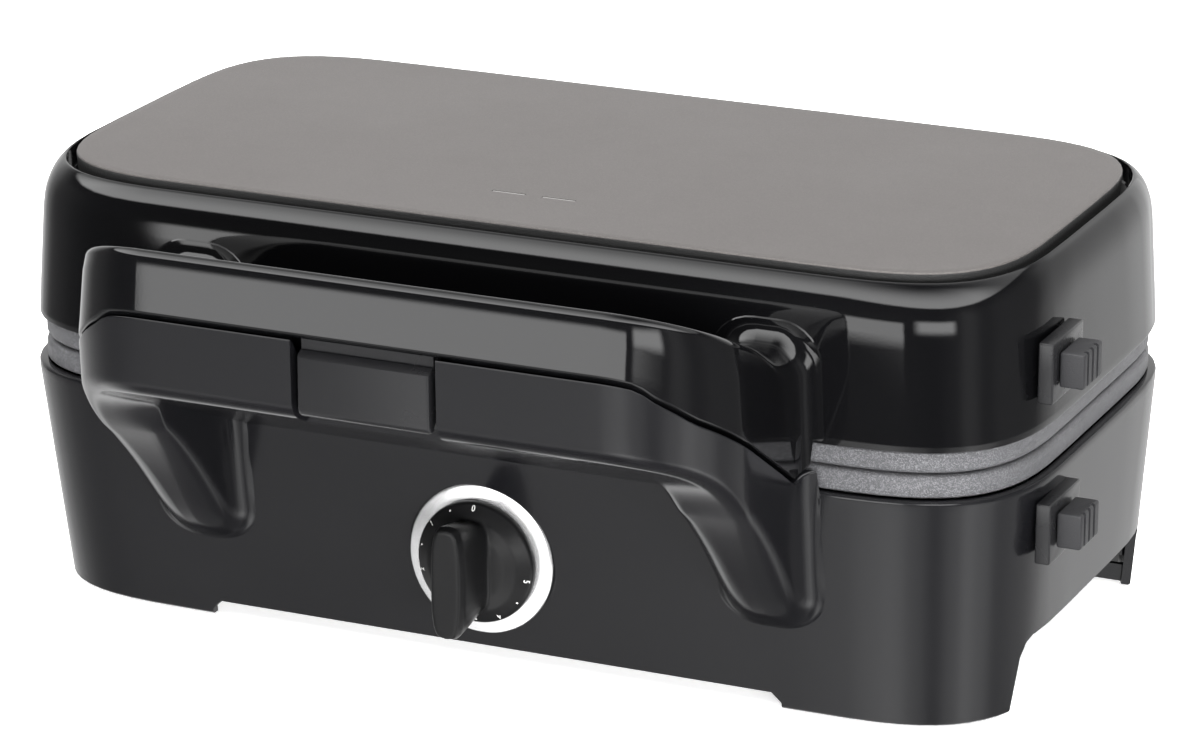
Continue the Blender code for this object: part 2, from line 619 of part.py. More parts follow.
def latch():
    """The clip in the middle of the handle: plate, neck and hook in one section, on a pin in the bar."""
    y, z = CLIP_PIN
    section = [(-147.1, 108.5), (-147.1, 94.2), (-145.9, 92.2), (-140.8, 92.2), (-140.8, 94.4), (-143.0, 94.8)]
    section += [(-143.0, 107.0), (-139.4, 112.0), (-138.4, 114.0), (-138.4, 120.8), (-143.6, 120.8)]
    section += [(-144.5, 119.6), (-144.5, 110.0), (-143.9, 109.8), (-143.9, 108.5)]
    clip = place("handle_latch", prism(section, "x", -CLIP_HALF, CLIP_HALF), "satin_black", (0.0, y, z))
    boolean(clip, "DIFFERENCE", [cut("clip_bore", rod((0.0, y, z), (1, 0, 0), 1.8, 60.0, 12))])
    place("latch_pin", rod((0.0, y, z), (1, 0, 0), 1.5, 56.0, 12), "steel", (0.0, y, z))
    tube("latch_spring", coil((21.2, y, z), 0, 2.3, 3, 2.8, 12), 0.35, "steel", 1)
    keeper = [(-137.7, 98.0), (-138.2, 98.0), (-139.9, 96.6), (-139.9, 95.4), (-138.2, 94.6), (-137.7, 94.6)]
    place("latch_keeper", prism([(py - 0.6, pz) for py, pz in keeper], "x", -13.0, 13.0), "steel")


def product():
    """The empty that carries every piece from the body's centre to the bounding box's."""
    empty = bpy.data.objects.new("product", None)
    bpy.context.scene.collection.objects.link(empty)
    empty.location = Vector(SHIFT) * MM


def main():
    clear_scene()
    product()
    base_housing()
    bottom_cover()
    screws()
    foot_pads()
    reflector("lower_reflector", 49.0, 62.0, (266.0, 143.0, 30.0))
    heating_element("lower_heating_element", 65.4, -11.0)
    baking_plate("lower_plate", PARTING_Z - 0.2, -1)
    release_set("lower", LOWER_BUTTON_Z, 150.8, "satin_black")
    thermostat()
    control_knob()
    electrics()
    hinges()
    lid_housing()
    top_panel()
    indicators()
    reflector("upper_reflector", 99.0, 86.0, (266.0, 143.0, 30.0))
    heating_element("upper_heating_element", 82.6, 11.0)
    baking_plate("upper_plate", PARTING_Z + 0.2, 1)
    release_set("upper", UPPER_BUTTON_Z, 150.3, "gloss_black")
    latch()
    bpy.context.view_layer.update()


main()
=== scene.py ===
"""Looks of the donut maker: smooth shells, handle, plates, knob and small parts around the CAD frame.

Shapes are drawn in millimetres about the centre of the body, +X right, +Y back, +Z up, and moved into the
frame's metres when a piece is finished.
"""

import math
import bmesh
import bpy
from mathutils import Matrix, Vector


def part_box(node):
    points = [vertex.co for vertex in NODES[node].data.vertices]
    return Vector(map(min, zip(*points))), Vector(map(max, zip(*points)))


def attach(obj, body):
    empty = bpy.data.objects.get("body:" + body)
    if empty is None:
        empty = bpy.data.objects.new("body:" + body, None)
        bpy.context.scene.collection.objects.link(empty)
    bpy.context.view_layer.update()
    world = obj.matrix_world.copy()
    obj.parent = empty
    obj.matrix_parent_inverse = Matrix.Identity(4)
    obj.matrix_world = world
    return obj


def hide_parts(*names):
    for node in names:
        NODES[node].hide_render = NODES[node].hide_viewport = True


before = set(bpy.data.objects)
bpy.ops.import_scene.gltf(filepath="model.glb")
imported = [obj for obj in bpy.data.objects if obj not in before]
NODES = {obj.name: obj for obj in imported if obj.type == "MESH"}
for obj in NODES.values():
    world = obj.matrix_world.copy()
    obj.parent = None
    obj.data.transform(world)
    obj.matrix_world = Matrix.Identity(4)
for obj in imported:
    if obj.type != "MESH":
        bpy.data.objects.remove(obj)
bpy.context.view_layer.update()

MM = 0.001

plate_low, plate_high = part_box("lower_plate")
CENTRE = Vector(((plate_low.x + plate_high.x) / 2, (plate_low.y + plate_high.y) / 2, 0.0))

# Heights of the body, in millimetres.
RIM_Z = 67.2
LID_Z = 80.6
LIP_Z = 124.4
DECK_Z = 118.6
TOP_Z = 126.2
WALL = 2.6

# Corners are superellipses of this power. Each starts this many radii from the corner, so it eases in.
CORNER_POWER = 3.4
CORNER_REACH = 1.5

# Outlines: width, depth, corner radius.
PLATE = (297.6, 157.6, 38.0)
BASE_TOP = (302.4, 162.4, 40.0)
BASE_FOOT = (294.0, 147.0, 38.0)
BASE_FOOT_Y = 2.3
LID_BOTTOM = (301.0, 161.0, 39.5)
GROOVE = (288.6, 144.6, 38.0)
PANEL = (284.0, 140.0, 37.0)

# Handle.
ARM_INNER = 74.0
HANDLE_HALF = 96.0
HANDLE_FRONT = -147.0
HANDLE_BACK = -125.0
OUTER_CORNER = 30.0
INNER_CORNER = 8.0
PARTING = [(-149.0, 115.2), (-145.2, 112.6), (-143.0, 108.9), (-137.0, 103.0), (-112.0, 87.3), (-87.0, 71.6)]
ARM_REACH = 38.0
PIN_Y = -141.0
PIN_Z = 118.0
PIN_BORE = 1.8

# Knob.
KNOB_Y = -76.5
KNOB_Z = 32.2
RING_R = 21.4
SKIRT_R = 17.4
NUMBERS_R = 16.0
NUMBERS_STEP = 26

# Release buttons: their slot in each wall, along Y, and the low and the high release's height.
SLOT_Y = (-45.8, -33.6)
SLOT_HALF = 3.5
LOWER_RELEASE_Z = 53.5
UPPER_RELEASE_Z = 98.2

# Light slits of the panel, by X.
SLITS = {"left": -7.0, "right": 8.0}

# Where the mains lead's gland sits in the back wall.
GLAND_X = 62.0
GLAND_Z = 38.0

# Camera, in degrees, metres and, for the lens, millimetres.
CAMERA_AZIMUTH = 24.052
CAMERA_ELEVATION = 18.480
CAMERA_DISTANCE = 1.4491
AIM_RIGHT = 0.00105
AIM_UP = 0.05871
FOCAL_LENGTH = 150.84

# Ring moulds.
MOULD_X = 86.0
MOULD_Y = 32.6
MOULD_R = 20.5
MOULD_HALF = 9.5
MOULD_DEPTH = 12.0
MOULD_WALL = 2.3


# ---------------------------------------------------------------- shader groups


def new_group(name, inputs, output):
    """A shader group with float inputs and one float output."""
    group = bpy.data.node_groups.new(name, "ShaderNodeTree")
    for label, value in inputs:
        socket = group.interface.new_socket(label, in_out="INPUT", socket_type="NodeSocketFloat")
        socket.default_value = value
    group.interface.new_socket(output, in_out="OUTPUT", socket_type="NodeSocketFloat")
    return group, group.nodes.new("NodeGroupInput"), group.nodes.new("NodeGroupOutput")


def moulding_group():
    """Height of a moulded plastic skin: a fine spark-eroded grain over a slow unevenness."""
    sockets = [("Grain Scale", 2600.0), ("Grain", 1.0), ("Wave", 0.3)]
    group, given, out = new_group("moulded_skin", sockets, "Height")
    link = group.links.new
    where = group.nodes.new("ShaderNodeTexCoord")
    grain = group.nodes.new("ShaderNodeTexNoise")
    grain.inputs["Detail"].default_value = 3.0
    link(where.outputs["Object"], grain.inputs["Vector"])
    link(given.outputs["Grain Scale"], grain.inputs["Scale"])
    wave = group.nodes.new("ShaderNodeTexNoise")
    wave.inputs["Scale"].default_value = 28.0
    wave.inputs["Detail"].default_value = 1.0
    link(where.outputs["Object"], wave.inputs["Vector"])
    fine = group.nodes.new("ShaderNodeMath")
    fine.operation = "MULTIPLY"
    link(grain.outputs["Fac"], fine.inputs[0])
    link(given.outputs["Grain"], fine.inputs[1])
    slow = group.nodes.new("ShaderNodeMath")
    slow.operation = "MULTIPLY"
    link(wave.outputs["Fac"], slow.inputs[0])
    link(given.outputs["Wave"], slow.inputs[1])
    total = group.nodes.new("ShaderNodeMath")
    link(fine.outputs[0], total.inputs[0])
    link(slow.outputs[0], total.inputs[1])
    link(total.outputs[0], out.inputs["Height"])
    return group


def handling_group():
    """Roughness that drifts a little between two values, as on a wiped surface."""
    sockets = [("Scale", 22.0), ("Low", 0.1), ("High", 0.2)]
    group, given, out = new_group("handled_roughness", sockets, "Roughness")
    link = group.links.new
    where = group.nodes.new("ShaderNodeTexCoord")
    cloud = group.nodes.new("ShaderNodeTexNoise")
    cloud.inputs["Detail"].default_value = 5.0
    cloud.inputs["Roughness"].default_value = 0.62
    link(where.outputs["Object"], cloud.inputs["Vector"])
    link(given.outputs["Scale"], cloud.inputs["Scale"])
    spread = group.nodes.new("ShaderNodeMapRange")
    spread.inputs["From Min"].default_value = 0.35
    spread.inputs["From Max"].default_value = 0.68
    link(cloud.outputs["Fac"], spread.inputs["Value"])
    link(given.outputs["Low"], spread.inputs["To Min"])
    link(given.outputs["High"], spread.inputs["To Max"])
    link(spread.outputs["Result"], out.inputs["Roughness"])
    return group


def fleck_group():
    """Mask of small flecks, brighter in a few cells, as in a speckled coating."""
    group, given, out = new_group("coating_flecks", [("Scale", 1500.0), ("Cut", 0.62)], "Mask")
    link = group.links.new
    where = group.nodes.new("ShaderNodeTexCoord")
    cells = group.nodes.new("ShaderNodeTexVoronoi")
    link(where.outputs["Object"], cells.inputs["Vector"])
    link(given.outputs["Scale"], cells.inputs["Scale"])
    split = group.nodes.new("ShaderNodeSeparateColor")
    link(cells.outputs["Color"], split.inputs["Color"])
    cut = group.nodes.new("ShaderNodeMapRange")
    cut.inputs["From Max"].default_value = 1.0
    link(split.outputs["Red"], cut.inputs["Value"])
    link(given.outputs["Cut"], cut.inputs["From Min"])
    link(cut.outputs["Result"], out.inputs["Mask"])
    return group


def brushing_group():
    """Height of fine lines drawn out along X, as on brushed or rolled metal."""
    group, given, out = new_group("drawn_lines", [("Scale", 900.0), ("Stretch", 0.02)], "Height")
    link = group.links.new
    where = group.nodes.new("ShaderNodeTexCoord")
    parts = group.nodes.new("ShaderNodeSeparateXYZ")
    link(where.outputs["Object"], parts.inputs[0])
    squeeze = group.nodes.new("ShaderNodeMath")
    squeeze.operation = "MULTIPLY"
    link(parts.outputs["X"], squeeze.inputs[0])
    link(given.outputs["Stretch"], squeeze.inputs[1])
    joined = group.nodes.new("ShaderNodeCombineXYZ")
    link(squeeze.outputs[0], joined.inputs["X"])
    link(parts.outputs["Y"], joined.inputs["Y"])
    link(parts.outputs["Z"], joined.inputs["Z"])
    lines = group.nodes.new("ShaderNodeTexNoise")
    lines.inputs["Detail"].default_value = 2.0
    link(joined.outputs[0], lines.inputs["Vector"])
    link(given.outputs["Scale"], lines.inputs["Scale"])
    link(lines.outputs["Fac"], out.inputs["Height"])
    return group


GROUPS = {
    "skin": moulding_group(),
    "handled": handling_group(),
    "flecks": fleck_group(),
    "lines": brushing_group(),
}


def place_group(material, key, **values):
    node = material.node_tree.nodes.new("ShaderNodeGroup")
    node.node_tree = GROUPS[key]
    for label, value in values.items():
        node.inputs[label.replace("_", " ")].default_value = value
    return node


def start_material(name, color, roughness, metallic=0.0, **sockets):
    """A Principled material with its plain numbers set on the shader's own sockets."""
    material = bpy.data.materials.new(name)
    material.use_nodes = True
    shader = material.node_tree.nodes["Principled BSDF"]
    shader.inputs["Base Color"].default_value = (*color, 1.0)
    shader.inputs["Roughness"].default_value = roughness
    shader.inputs["Metallic"].default_value = metallic
    for label, value in sockets.items():
        shader.inputs[label.replace("_", " ")].default_value = value
    return material, shader


def add_bump(material, shader, height, distance, strength=1.0):
    bump = material.node_tree.nodes.new("ShaderNodeBump")
    bump.inputs["Distance"].default_value = distance
    bump.inputs["Strength"].default_value = strength
    material.node_tree.links.new(height, bump.inputs["Height"])
    material.node_tree.links.new(bump.outputs["Normal"], shader.inputs["Normal"])


def moulded_plastic(name, color, low, high, grain_scale, grain, wave, distance, **sockets):
    """Injection-moulded plastic: handled roughness and a moulded skin."""
    material, shader = start_material(name, color, (low + high) / 2, **sockets)
    handled = place_group(material, "handled", Low=low, High=high)
    material.node_tree.links.new(handled.outputs[0], shader.inputs["Roughness"])
    skin = place_group(material, "skin", Grain_Scale=grain_scale, Grain=grain, Wave=wave)
    add_bump(material, shader, skin.outputs[0], distance)
    return material


def flecked_coating(name, dark, light, roughness, scale, distance, metallic=0.3):
    """Non-stick coating with mineral flecks over a cast, slightly pebbled surface."""
    material, shader = start_material(name, dark, roughness, metallic)
    flecks = place_group(material, "flecks", Scale=scale, Cut=0.45)
    mix = material.node_tree.nodes.new("ShaderNodeMix")
    mix.data_type = "RGBA"
    mix.inputs["A"].default_value = (*dark, 1.0)
    mix.inputs["B"].default_value = (*light, 1.0)
    link = material.node_tree.links.new
    link(flecks.outputs[0], mix.inputs["Factor"])
    link(mix.outputs["Result"], shader.inputs["Base Color"])
    skin = place_group(material, "skin", Grain_Scale=scale * 0.9, Grain=1.0, Wave=0.2)
    add_bump(material, shader, skin.outputs[0], distance)
    return material


def drawn_metal(name, color, roughness, scale, distance, metallic=1.0):
    material, shader = start_material(name, color, roughness, metallic)
    lines = place_group(material, "lines", Scale=scale, Stretch=0.03)
    add_bump(material, shader, lines.outputs[0], distance)
    return material


def polished_metal(name, color, low, high):
    material, shader = start_material(name, color, low, 1.0)
    handled = place_group(material, "handled", Scale=60.0, Low=low, High=high)
    material.node_tree.links.new(handled.outputs[0], shader.inputs["Roughness"])
    return material


LID_BLACK = moulded_plastic("lid_black", (0.0016, 0.0016, 0.0018), 0.04, 0.08, 1500.0, 0.05, 0.6, 0.00006)
BASE_BLACK = moulded_plastic("base_black", (0.0032, 0.0032, 0.0037), 0.13, 0.19, 2400.0, 0.25, 0.5, 0.00005)
KNOB_BLACK = moulded_plastic(
    "knob_black", (0.0035, 0.0035, 0.0037), 0.28, 0.36, 3200.0, 0.5, 0.2, 0.00004, Specular_IOR_Level=0.36
)
CLIP_BLACK = moulded_plastic("clip_black", (0.0055, 0.0055, 0.006), 0.24, 0.32, 3000.0, 0.5, 0.2, 0.00005)
BUTTON_BLACK = moulded_plastic("button_black", (0.011, 0.011, 0.012), 0.42, 0.55, 2800.0, 1.0, 0.1, 0.00008)
COVER_BLACK = moulded_plastic("cover_black", (0.014, 0.014, 0.014), 0.5, 0.62, 1800.0, 1.0, 0.1, 0.00010)
RUBBER = moulded_plastic("foot_rubber", (0.018, 0.018, 0.018), 0.7, 0.85, 1400.0, 1.0, 0.3, 0.00012)
EDGE_BLACK = moulded_plastic("panel_edge_black", (0.01, 0.01, 0.01), 0.5, 0.6, 1500.0, 1.0, 0.2, 0.00016)
CASE_BROWN = moulded_plastic("phenolic_brown", (0.05, 0.032, 0.02), 0.4, 0.55, 1500.0, 0.8, 0.2, 0.00008)
CERAMIC = moulded_plastic("steatite", (0.74, 0.7, 0.62), 0.5, 0.65, 1200.0, 1.0, 0.2, 0.00010)
LENS = moulded_plastic("lens_grey", (0.14, 0.135, 0.13), 0.2, 0.3, 2000.0, 0.2, 0.2, 0.00003)
WHITE_PRINT = moulded_plastic("white_print", (0.42, 0.42, 0.41), 0.45, 0.55, 3000.0, 0.4, 0.1, 0.00002)
CHROME = polished_metal("ring_chrome", (0.95, 0.95, 0.955), 0.16, 0.24)
CHROME.node_tree.nodes["Principled BSDF"].inputs["Metallic"].default_value = 0.85
STEEL = drawn_metal("plain_steel", (0.5, 0.5, 0.51), 0.34, 1400.0, 0.00003)
ALUMINIUM = drawn_metal("rolled_aluminium", (0.74, 0.75, 0.76), 0.36, 700.0, 0.00005)
HEATER = drawn_metal("heater_sheath", (0.2, 0.19, 0.19), 0.45, 900.0, 0.00004)
NONSTICK = flecked_coating("nonstick_grey", (0.05, 0.05, 0.053), (0.115, 0.115, 0.121), 0.4, 3800.0, 0.0002)


def panel_paint():
    """Warm grey satin lacquer with a very fine metallic fleck."""
    material, shader = start_material("panel_lacquer", (0.05, 0.046, 0.044), 0.42, 0.0)
    flecks = place_group(material, "flecks", Scale=4200.0, Cut=0.3)
    mix = material.node_tree.nodes.new("ShaderNodeMix")
    mix.data_type = "RGBA"
    mix.inputs["A"].default_value = (0.04, 0.0365, 0.035, 1.0)
    mix.inputs["B"].default_value = (0.062, 0.057, 0.0545, 1.0)
    link = material.node_tree.links.new
    link(flecks.outputs[0], mix.inputs["Factor"])
    link(mix.outputs["Result"], shader.inputs["Base Color"])
    handled = place_group(material, "handled", Scale=9.0, Low=0.39, High=0.45)
    link(handled.outputs[0], shader.inputs["Roughness"])
    skin = place_group(material, "skin", Grain_Scale=5000.0, Grain=0.3, Wave=0.1)
    add_bump(material, shader, skin.outputs[0], 0.00003)
    return material


PANEL_GREY = panel_paint()


# ---------------------------------------------------------------- shape helpers


def outline(z, size, y_centre=0.0, inset=0.0, steps=14):
    """A rounded rectangle whose corners ease into the sides, at height z."""
    width, depth = size[0] - 2 * inset, size[1] - 2 * inset
    radius = min(max(size[2] - inset, 1.0) * CORNER_REACH, width / 2 - 1, depth / 2 - 1)
    points = []
    for quarter, (sx, sy) in enumerate(((1, 1), (-1, 1), (-1, -1), (1, -1))):
        cx, cy = sx * (width / 2 - radius), sy * (depth / 2 - radius) + y_centre
        for step in range(steps + 1):
            angle = step / steps * math.pi / 2
            near, far = math.cos(angle) ** (2 / CORNER_POWER), math.sin(angle) ** (2 / CORNER_POWER)
            if quarter % 2:
                near, far = far, near
            points.append((cx + sx * radius * near, cy + sy * radius * far, z))
    return points


def loft(loops, closed=False):
    """Bridge a stack of closed loops. An open stack gets its two ends filled."""
    bm = bmesh.new()
    rows = []
    for points in loops:
        verts = [bm.verts.new(point) for point in points]
        rows.append([bm.edges.new(pair) for pair in zip(verts, verts[1:] + verts[:1])])
    pairs = list(zip(rows, rows[1:]))
    if closed:
        pairs.append((rows[-1], rows[0]))
    else:
        for row in (rows[0], rows[-1]):
            bmesh.ops.contextual_create(bm, geom=row)
    for first, second in pairs:
        bmesh.ops.bridge_loops(bm, edges=first + second)
    bmesh.ops.recalc_face_normals(bm, faces=bm.faces)
    return bm


def extruded(points, axis, start, end):
    """A prism of an outline along one axis. The points are the other two coordinates in order."""
    bm = bmesh.new()
    index = "xyz".index(axis)
    verts = []
    for a, b in points:
        spot = [a, b]
        spot.insert(index, start)
        verts.append(bm.verts.new(spot))
    face = bmesh.ops.contextual_create(bm, geom=verts)["faces"][0]
    shift = Vector((0.0, 0.0, 0.0))
    shift[index] = end - start
    grown = bmesh.ops.extrude_face_region(bm, geom=[face])["geom"]
    moved = [part for part in grown if isinstance(part, bmesh.types.BMVert)]
    bmesh.ops.translate(bm, verts=moved, vec=shift)
    bmesh.ops.recalc_face_normals(bm, faces=bm.faces)
    return bm


def block(low, high, bevel=0.0, segments=3):
    bm = bmesh.new()
    middle = [(a + b) / 2 for a, b in zip(low, high)]
    size = [b - a for a, b in zip(low, high)]
    spread = Matrix.Diagonal((*size, 1.0))
    bmesh.ops.create_cube(bm, size=1.0, matrix=Matrix.Translation(middle) @ spread)
    if bevel:
        round_edges(bm, bm.edges[:], bevel, segments)
    return bm


def round_edges(bm, edges, offset, segments=3):
    bmesh.ops.bevel(
        bm,
        geom=edges,
        offset=offset,
        segments=segments,
        profile=0.5,
        affect="EDGES",
        material=-1,
        clamp_overlap=True,
    )


def turned(profile, centre, axis, steps=64):
    """Spin a profile of (radius, height) about an axis through the centre.

    The profile closes on itself, or on the axis where it starts and ends there.
    """
    bm = bmesh.new()
    verts = [bm.verts.new((radius, 0.0, height)) for radius, height in profile]
    pairs = list(zip(verts, verts[1:]))
    if profile[0][0] > 0 or profile[-1][0] > 0:
        pairs.append((verts[-1], verts[0]))
    edges = [bm.edges.new(pair) for pair in pairs]
    bmesh.ops.spin(
        bm, geom=verts + edges, cent=(0, 0, 0), axis=(0, 0, 1), angle=math.tau, steps=steps, use_merge=True
    )
    bmesh.ops.remove_doubles(bm, verts=bm.verts, dist=1e-4)
    turn = Vector((0, 0, 1)).rotation_difference(Vector(axis)).to_matrix().to_4x4()
    bmesh.ops.transform(bm, matrix=Matrix.Translation(centre) @ turn, verts=bm.verts)
    bmesh.ops.recalc_face_normals(bm, faces=bm.faces)
    return bm


def helper_object(bm):
    mesh = bpy.data.meshes.new("helper")
    bm.to_mesh(mesh)
    bm.free()
    obj = bpy.data.objects.new("helper", mesh)
    bpy.context.scene.collection.objects.link(obj)
    return obj


def solid(bm, operations=(), finish=()):
    """Apply exact Booleans, given as (operation, bmesh) pairs, then modifiers, and return the new bmesh."""
    target = helper_object(bm)
    helpers = []
    for operation, other in operations:
        helper = helper_object(other)
        helpers.append(helper)
        step = target.modifiers.new("step", "BOOLEAN")
        step.operation = operation
        step.solver = "EXACT"
        step.object = helper
    for kind, settings in finish:
        step = target.modifiers.new("step", kind)
        for label, value in settings.items():
            setattr(step, label, value)
    evaluated = target.evaluated_get(bpy.context.evaluated_depsgraph_get())
    mesh = bpy.data.meshes.new_from_object(evaluated)
    result = bmesh.new()
    result.from_mesh(mesh)
    bpy.data.meshes.remove(mesh)
    for obj in [target] + helpers:
        bpy.data.objects.remove(obj)
    return result


def piece(name, bm, body, material, nodes=(), sharp=34.0, weighted=False):
    """Finish a bmesh drawn in millimetres as an object of the frame that stands for some CAD nodes."""
    bmesh.ops.transform(bm, matrix=Matrix.Translation(CENTRE) @ Matrix.Scale(MM, 4), verts=bm.verts)
    mesh = bpy.data.meshes.new(name)
    bm.to_mesh(mesh)
    bm.free()
    mesh.shade_smooth()
    mesh.set_sharp_from_angle(angle=math.radians(sharp))
    for each in material if isinstance(material, list) else [material]:
        mesh.materials.append(each)
    obj = bpy.data.objects.new(name, mesh)
    bpy.context.scene.collection.objects.link(obj)
    if weighted:
        even = obj.modifiers.new("even_normals", "WEIGHTED_NORMAL")
        even.keep_sharp = True
        even.weight = 60
    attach(obj, body)
    if nodes:
        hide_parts(*nodes)
    return obj


# ---------------------------------------------------------------- housings


def base_outline(z, inset=0.0):
    share = z / RIM_Z
    size = [foot + (top - foot) * share for foot, top in zip(BASE_FOOT, BASE_TOP)]
    return outline(z, size, BASE_FOOT_Y * (1 - share), inset)


def base_front(z):
    """Y of the front wall's outer face at height z."""
    share = z / RIM_Z
    return BASE_FOOT_Y * (1 - share) - (BASE_FOOT[1] + (BASE_TOP[1] - BASE_FOOT[1]) * share) / 2


def release_slot(z):
    """Cutter for the slot that a release's stem slides in, through the right wall."""
    return block((140.0, SLOT_Y[0], z - SLOT_HALF), (158.0, SLOT_Y[1], z + SLOT_HALF))


def base_shell():
    """The tub: tapered wall with a rounded rim, feet cut free at the corners and the knob's upright seat."""
    heights = [(0.4, 0.5), (0.9, 0.0), (3.0, 0.0), (22.0, 0.0), (45.0, 0.0), (64.5, 0.0)]
    heights += [(66.2, 0.05), (66.9, 0.35), (RIM_Z, 1.0)]
    rings = [base_outline(z, inset) for z, inset in heights]
    rings += [base_outline(z, WALL) for z in (RIM_Z, 45.0, 22.0, 0.4)]
    wedge = [(-72.3, 14.0), (base_front(14.0) + 0.8, 14.0), (base_front(57.0) + 0.8, 57.0), (-73.4, 57.0)]
    pad = turned([(0, 1.6), (RING_R, 1.6), (RING_R + 0.1, 1.4), (RING_R + 0.1, -1.8), (0, -1.8)],
                 (0.0, KNOB_Y + 1.9, KNOB_Z), (0, -1, 0), 72)
    recess = turned([(0, 8.0), (RING_R + 0.5, 8.0), (RING_R + 0.5, -4.0), (0, -4.0)],
                    (0.0, KNOB_Y - 3.8, KNOB_Z), (0, -1, 0), 72)
    front = [(-86.5, -6.0), (86.5, -6.0), (86.5, 2.0), (83.7, 4.8), (-83.7, 4.8), (-86.5, 2.0)]
    back = [(-86.5, -6.0), (86.5, -6.0), (86.5, 6.2), (83.7, 9.0), (-83.7, 9.0), (-86.5, 6.2)]
    side = [(-50.0, -5.0), (55.5, -5.0), (55.6, 15.0), (54.2, 19.0), (51.2, 21.0), (-42.0, 21.0)]
    side += [(-45.6, 19.6), (-47.6, 16.0)]
    cuts = [
        extruded(front, "y", -90.0, -50.0),
        extruded(back, "y", 50.0, 95.0),
        extruded(side, "x", -160.0, 160.0),
        recess,
        release_slot(LOWER_RELEASE_Z),
        turned([(0, 9.0), (6.3, 9.0), (6.3, -9.0), (0, -9.0)], (GLAND_X, 78.0, GLAND_Z), (0, 1, 0), 32),
    ]
    steps = [("UNION", extruded(wedge, "x", -25.0, 25.0)), ("UNION", pad)]
    return solid(loft(rings, closed=True), steps + [("DIFFERENCE", each) for each in cuts])


def rear_foot_walls():
    """Short cross walls that close the rear feet towards the tunnel, above and below the cover's flange."""
    whole = bmesh.new()
    for side in (-1, 1):
        for low, high in ((0.6, 5.6), (8.4, 21.6)):
            middle = Matrix.Translation((side * 126.0, 58.2, (low + high) / 2))
            spread = Matrix.Diagonal((27.0, 1.8, high - low, 1.0))
            bmesh.ops.create_cube(whole, size=1.0, matrix=middle @ spread)
    return whole


def lid_shell():
    """The lid: tapered wall, a full rounded shoulder, the lip and the groove that the panel sits in.

    Each row of the profile is a height and the width, depth and corner radius there.
    """
    profile = [(80.6, 300.2, 160.2, 39.2), (80.75, 300.7, 160.7, 39.4), (81.3, 301.0, 161.0, 39.5)]
    profile += [(83.0, 300.9, 160.9, 39.5), (96.0, 299.6, 159.7, 39.5), (108.0, 298.4, 158.5, 39.5)]
    profile += [(112.0, 298.0, 158.0, 39.5), (114.6, 297.5, 157.4, 39.5), (116.8, 296.9, 156.6, 39.5)]
    profile += [(118.8, 296.0, 155.3, 39.5), (120.6, 294.9, 153.6, 39.5), (122.0, 293.7, 151.9, 39.5)]
    profile += [(123.1, 292.5, 150.0, 39.4), (123.9, 291.2, 148.2, 39.2), (124.3, 290.2, 146.8, 38.9)]
    profile += [(LIP_Z, 289.5, 145.8, 38.6), (124.3, 289.0, 145.1, 38.3), (123.9, 288.7, 144.7, 38.1)]
    profile += [(122.0, 288.6, 144.6, 38.0), (DECK_Z + 0.5, 288.4, 144.4, 38.0), (DECK_Z, 287.6, 143.6, 37.6)]
    rings = [outline(z, (w, d, r)) for z, w, d, r in reversed(profile)]
    rings += [outline(LID_Z, LID_BOTTOM, inset=WALL), outline(112.0, (298.4, 158.2, 39.5), inset=WALL)]
    rings += [outline(DECK_Z - 2.4, GROOVE, inset=3.0)]
    return solid(loft(rings), [("DIFFERENCE", release_slot(UPPER_RELEASE_Z))])


# ---------------------------------------------------------------- handle


def along(table, y):
    """Height on a profile at y. The profile is listed from the front to the back."""
    if y <= table[0][0]:
        return table[0][1]
    for (y0, z0), (y1, z1) in zip(table, table[1:]):
        if y <= y1:
            return z0 + (z1 - z0) * (y - y0) / (y1 - y0)
    return table[-1][1]


def eased(table, y, reach):
    """The same, averaged over a short reach so that the profile's bends become curves."""
    return sum(along(table, y + reach * k / 3) for k in range(-3, 4)) / 7


def arm_stations():
    """Inner and outer plan points, a bend share, and on the arms how far along they lie from the wall (0) to
    the bend (1), from the right wall round to the middle of the bar."""
    cx, cy = ARM_INNER - INNER_CORNER, HANDLE_BACK + INNER_CORNER
    ox, oy = HANDLE_HALF - OUTER_CORNER, HANDLE_FRONT + OUTER_CORNER
    stations = [((ARM_INNER, cy), (HANDLE_HALF, oy), 0.0, part / ARM_REACH) for part in NEAR_WALL]
    for step in range(17):
        share = step / 16
        c, s = math.cos(share * math.pi / 2), math.sin(share * math.pi / 2)
        inner = (cx + INNER_CORNER * c, cy - INNER_CORNER * s)
        stations.append((inner, (ox + OUTER_CORNER * c, oy - OUTER_CORNER * s), share, None))
    for x in (60.0, 54.0, 46.0, 34.0, 22.0, 10.0):
        stations.append(((x, HANDLE_BACK), (x, HANDLE_FRONT), 1.0, None))
    return stations


def fillet(distance, radius):
    """How far a fillet of that radius stands out at a distance from the wall."""
    if distance >= radius:
        return 0.0
    reach = min(radius - distance, radius)
    return radius - math.sqrt(max(radius * radius - reach * reach, 0.0))


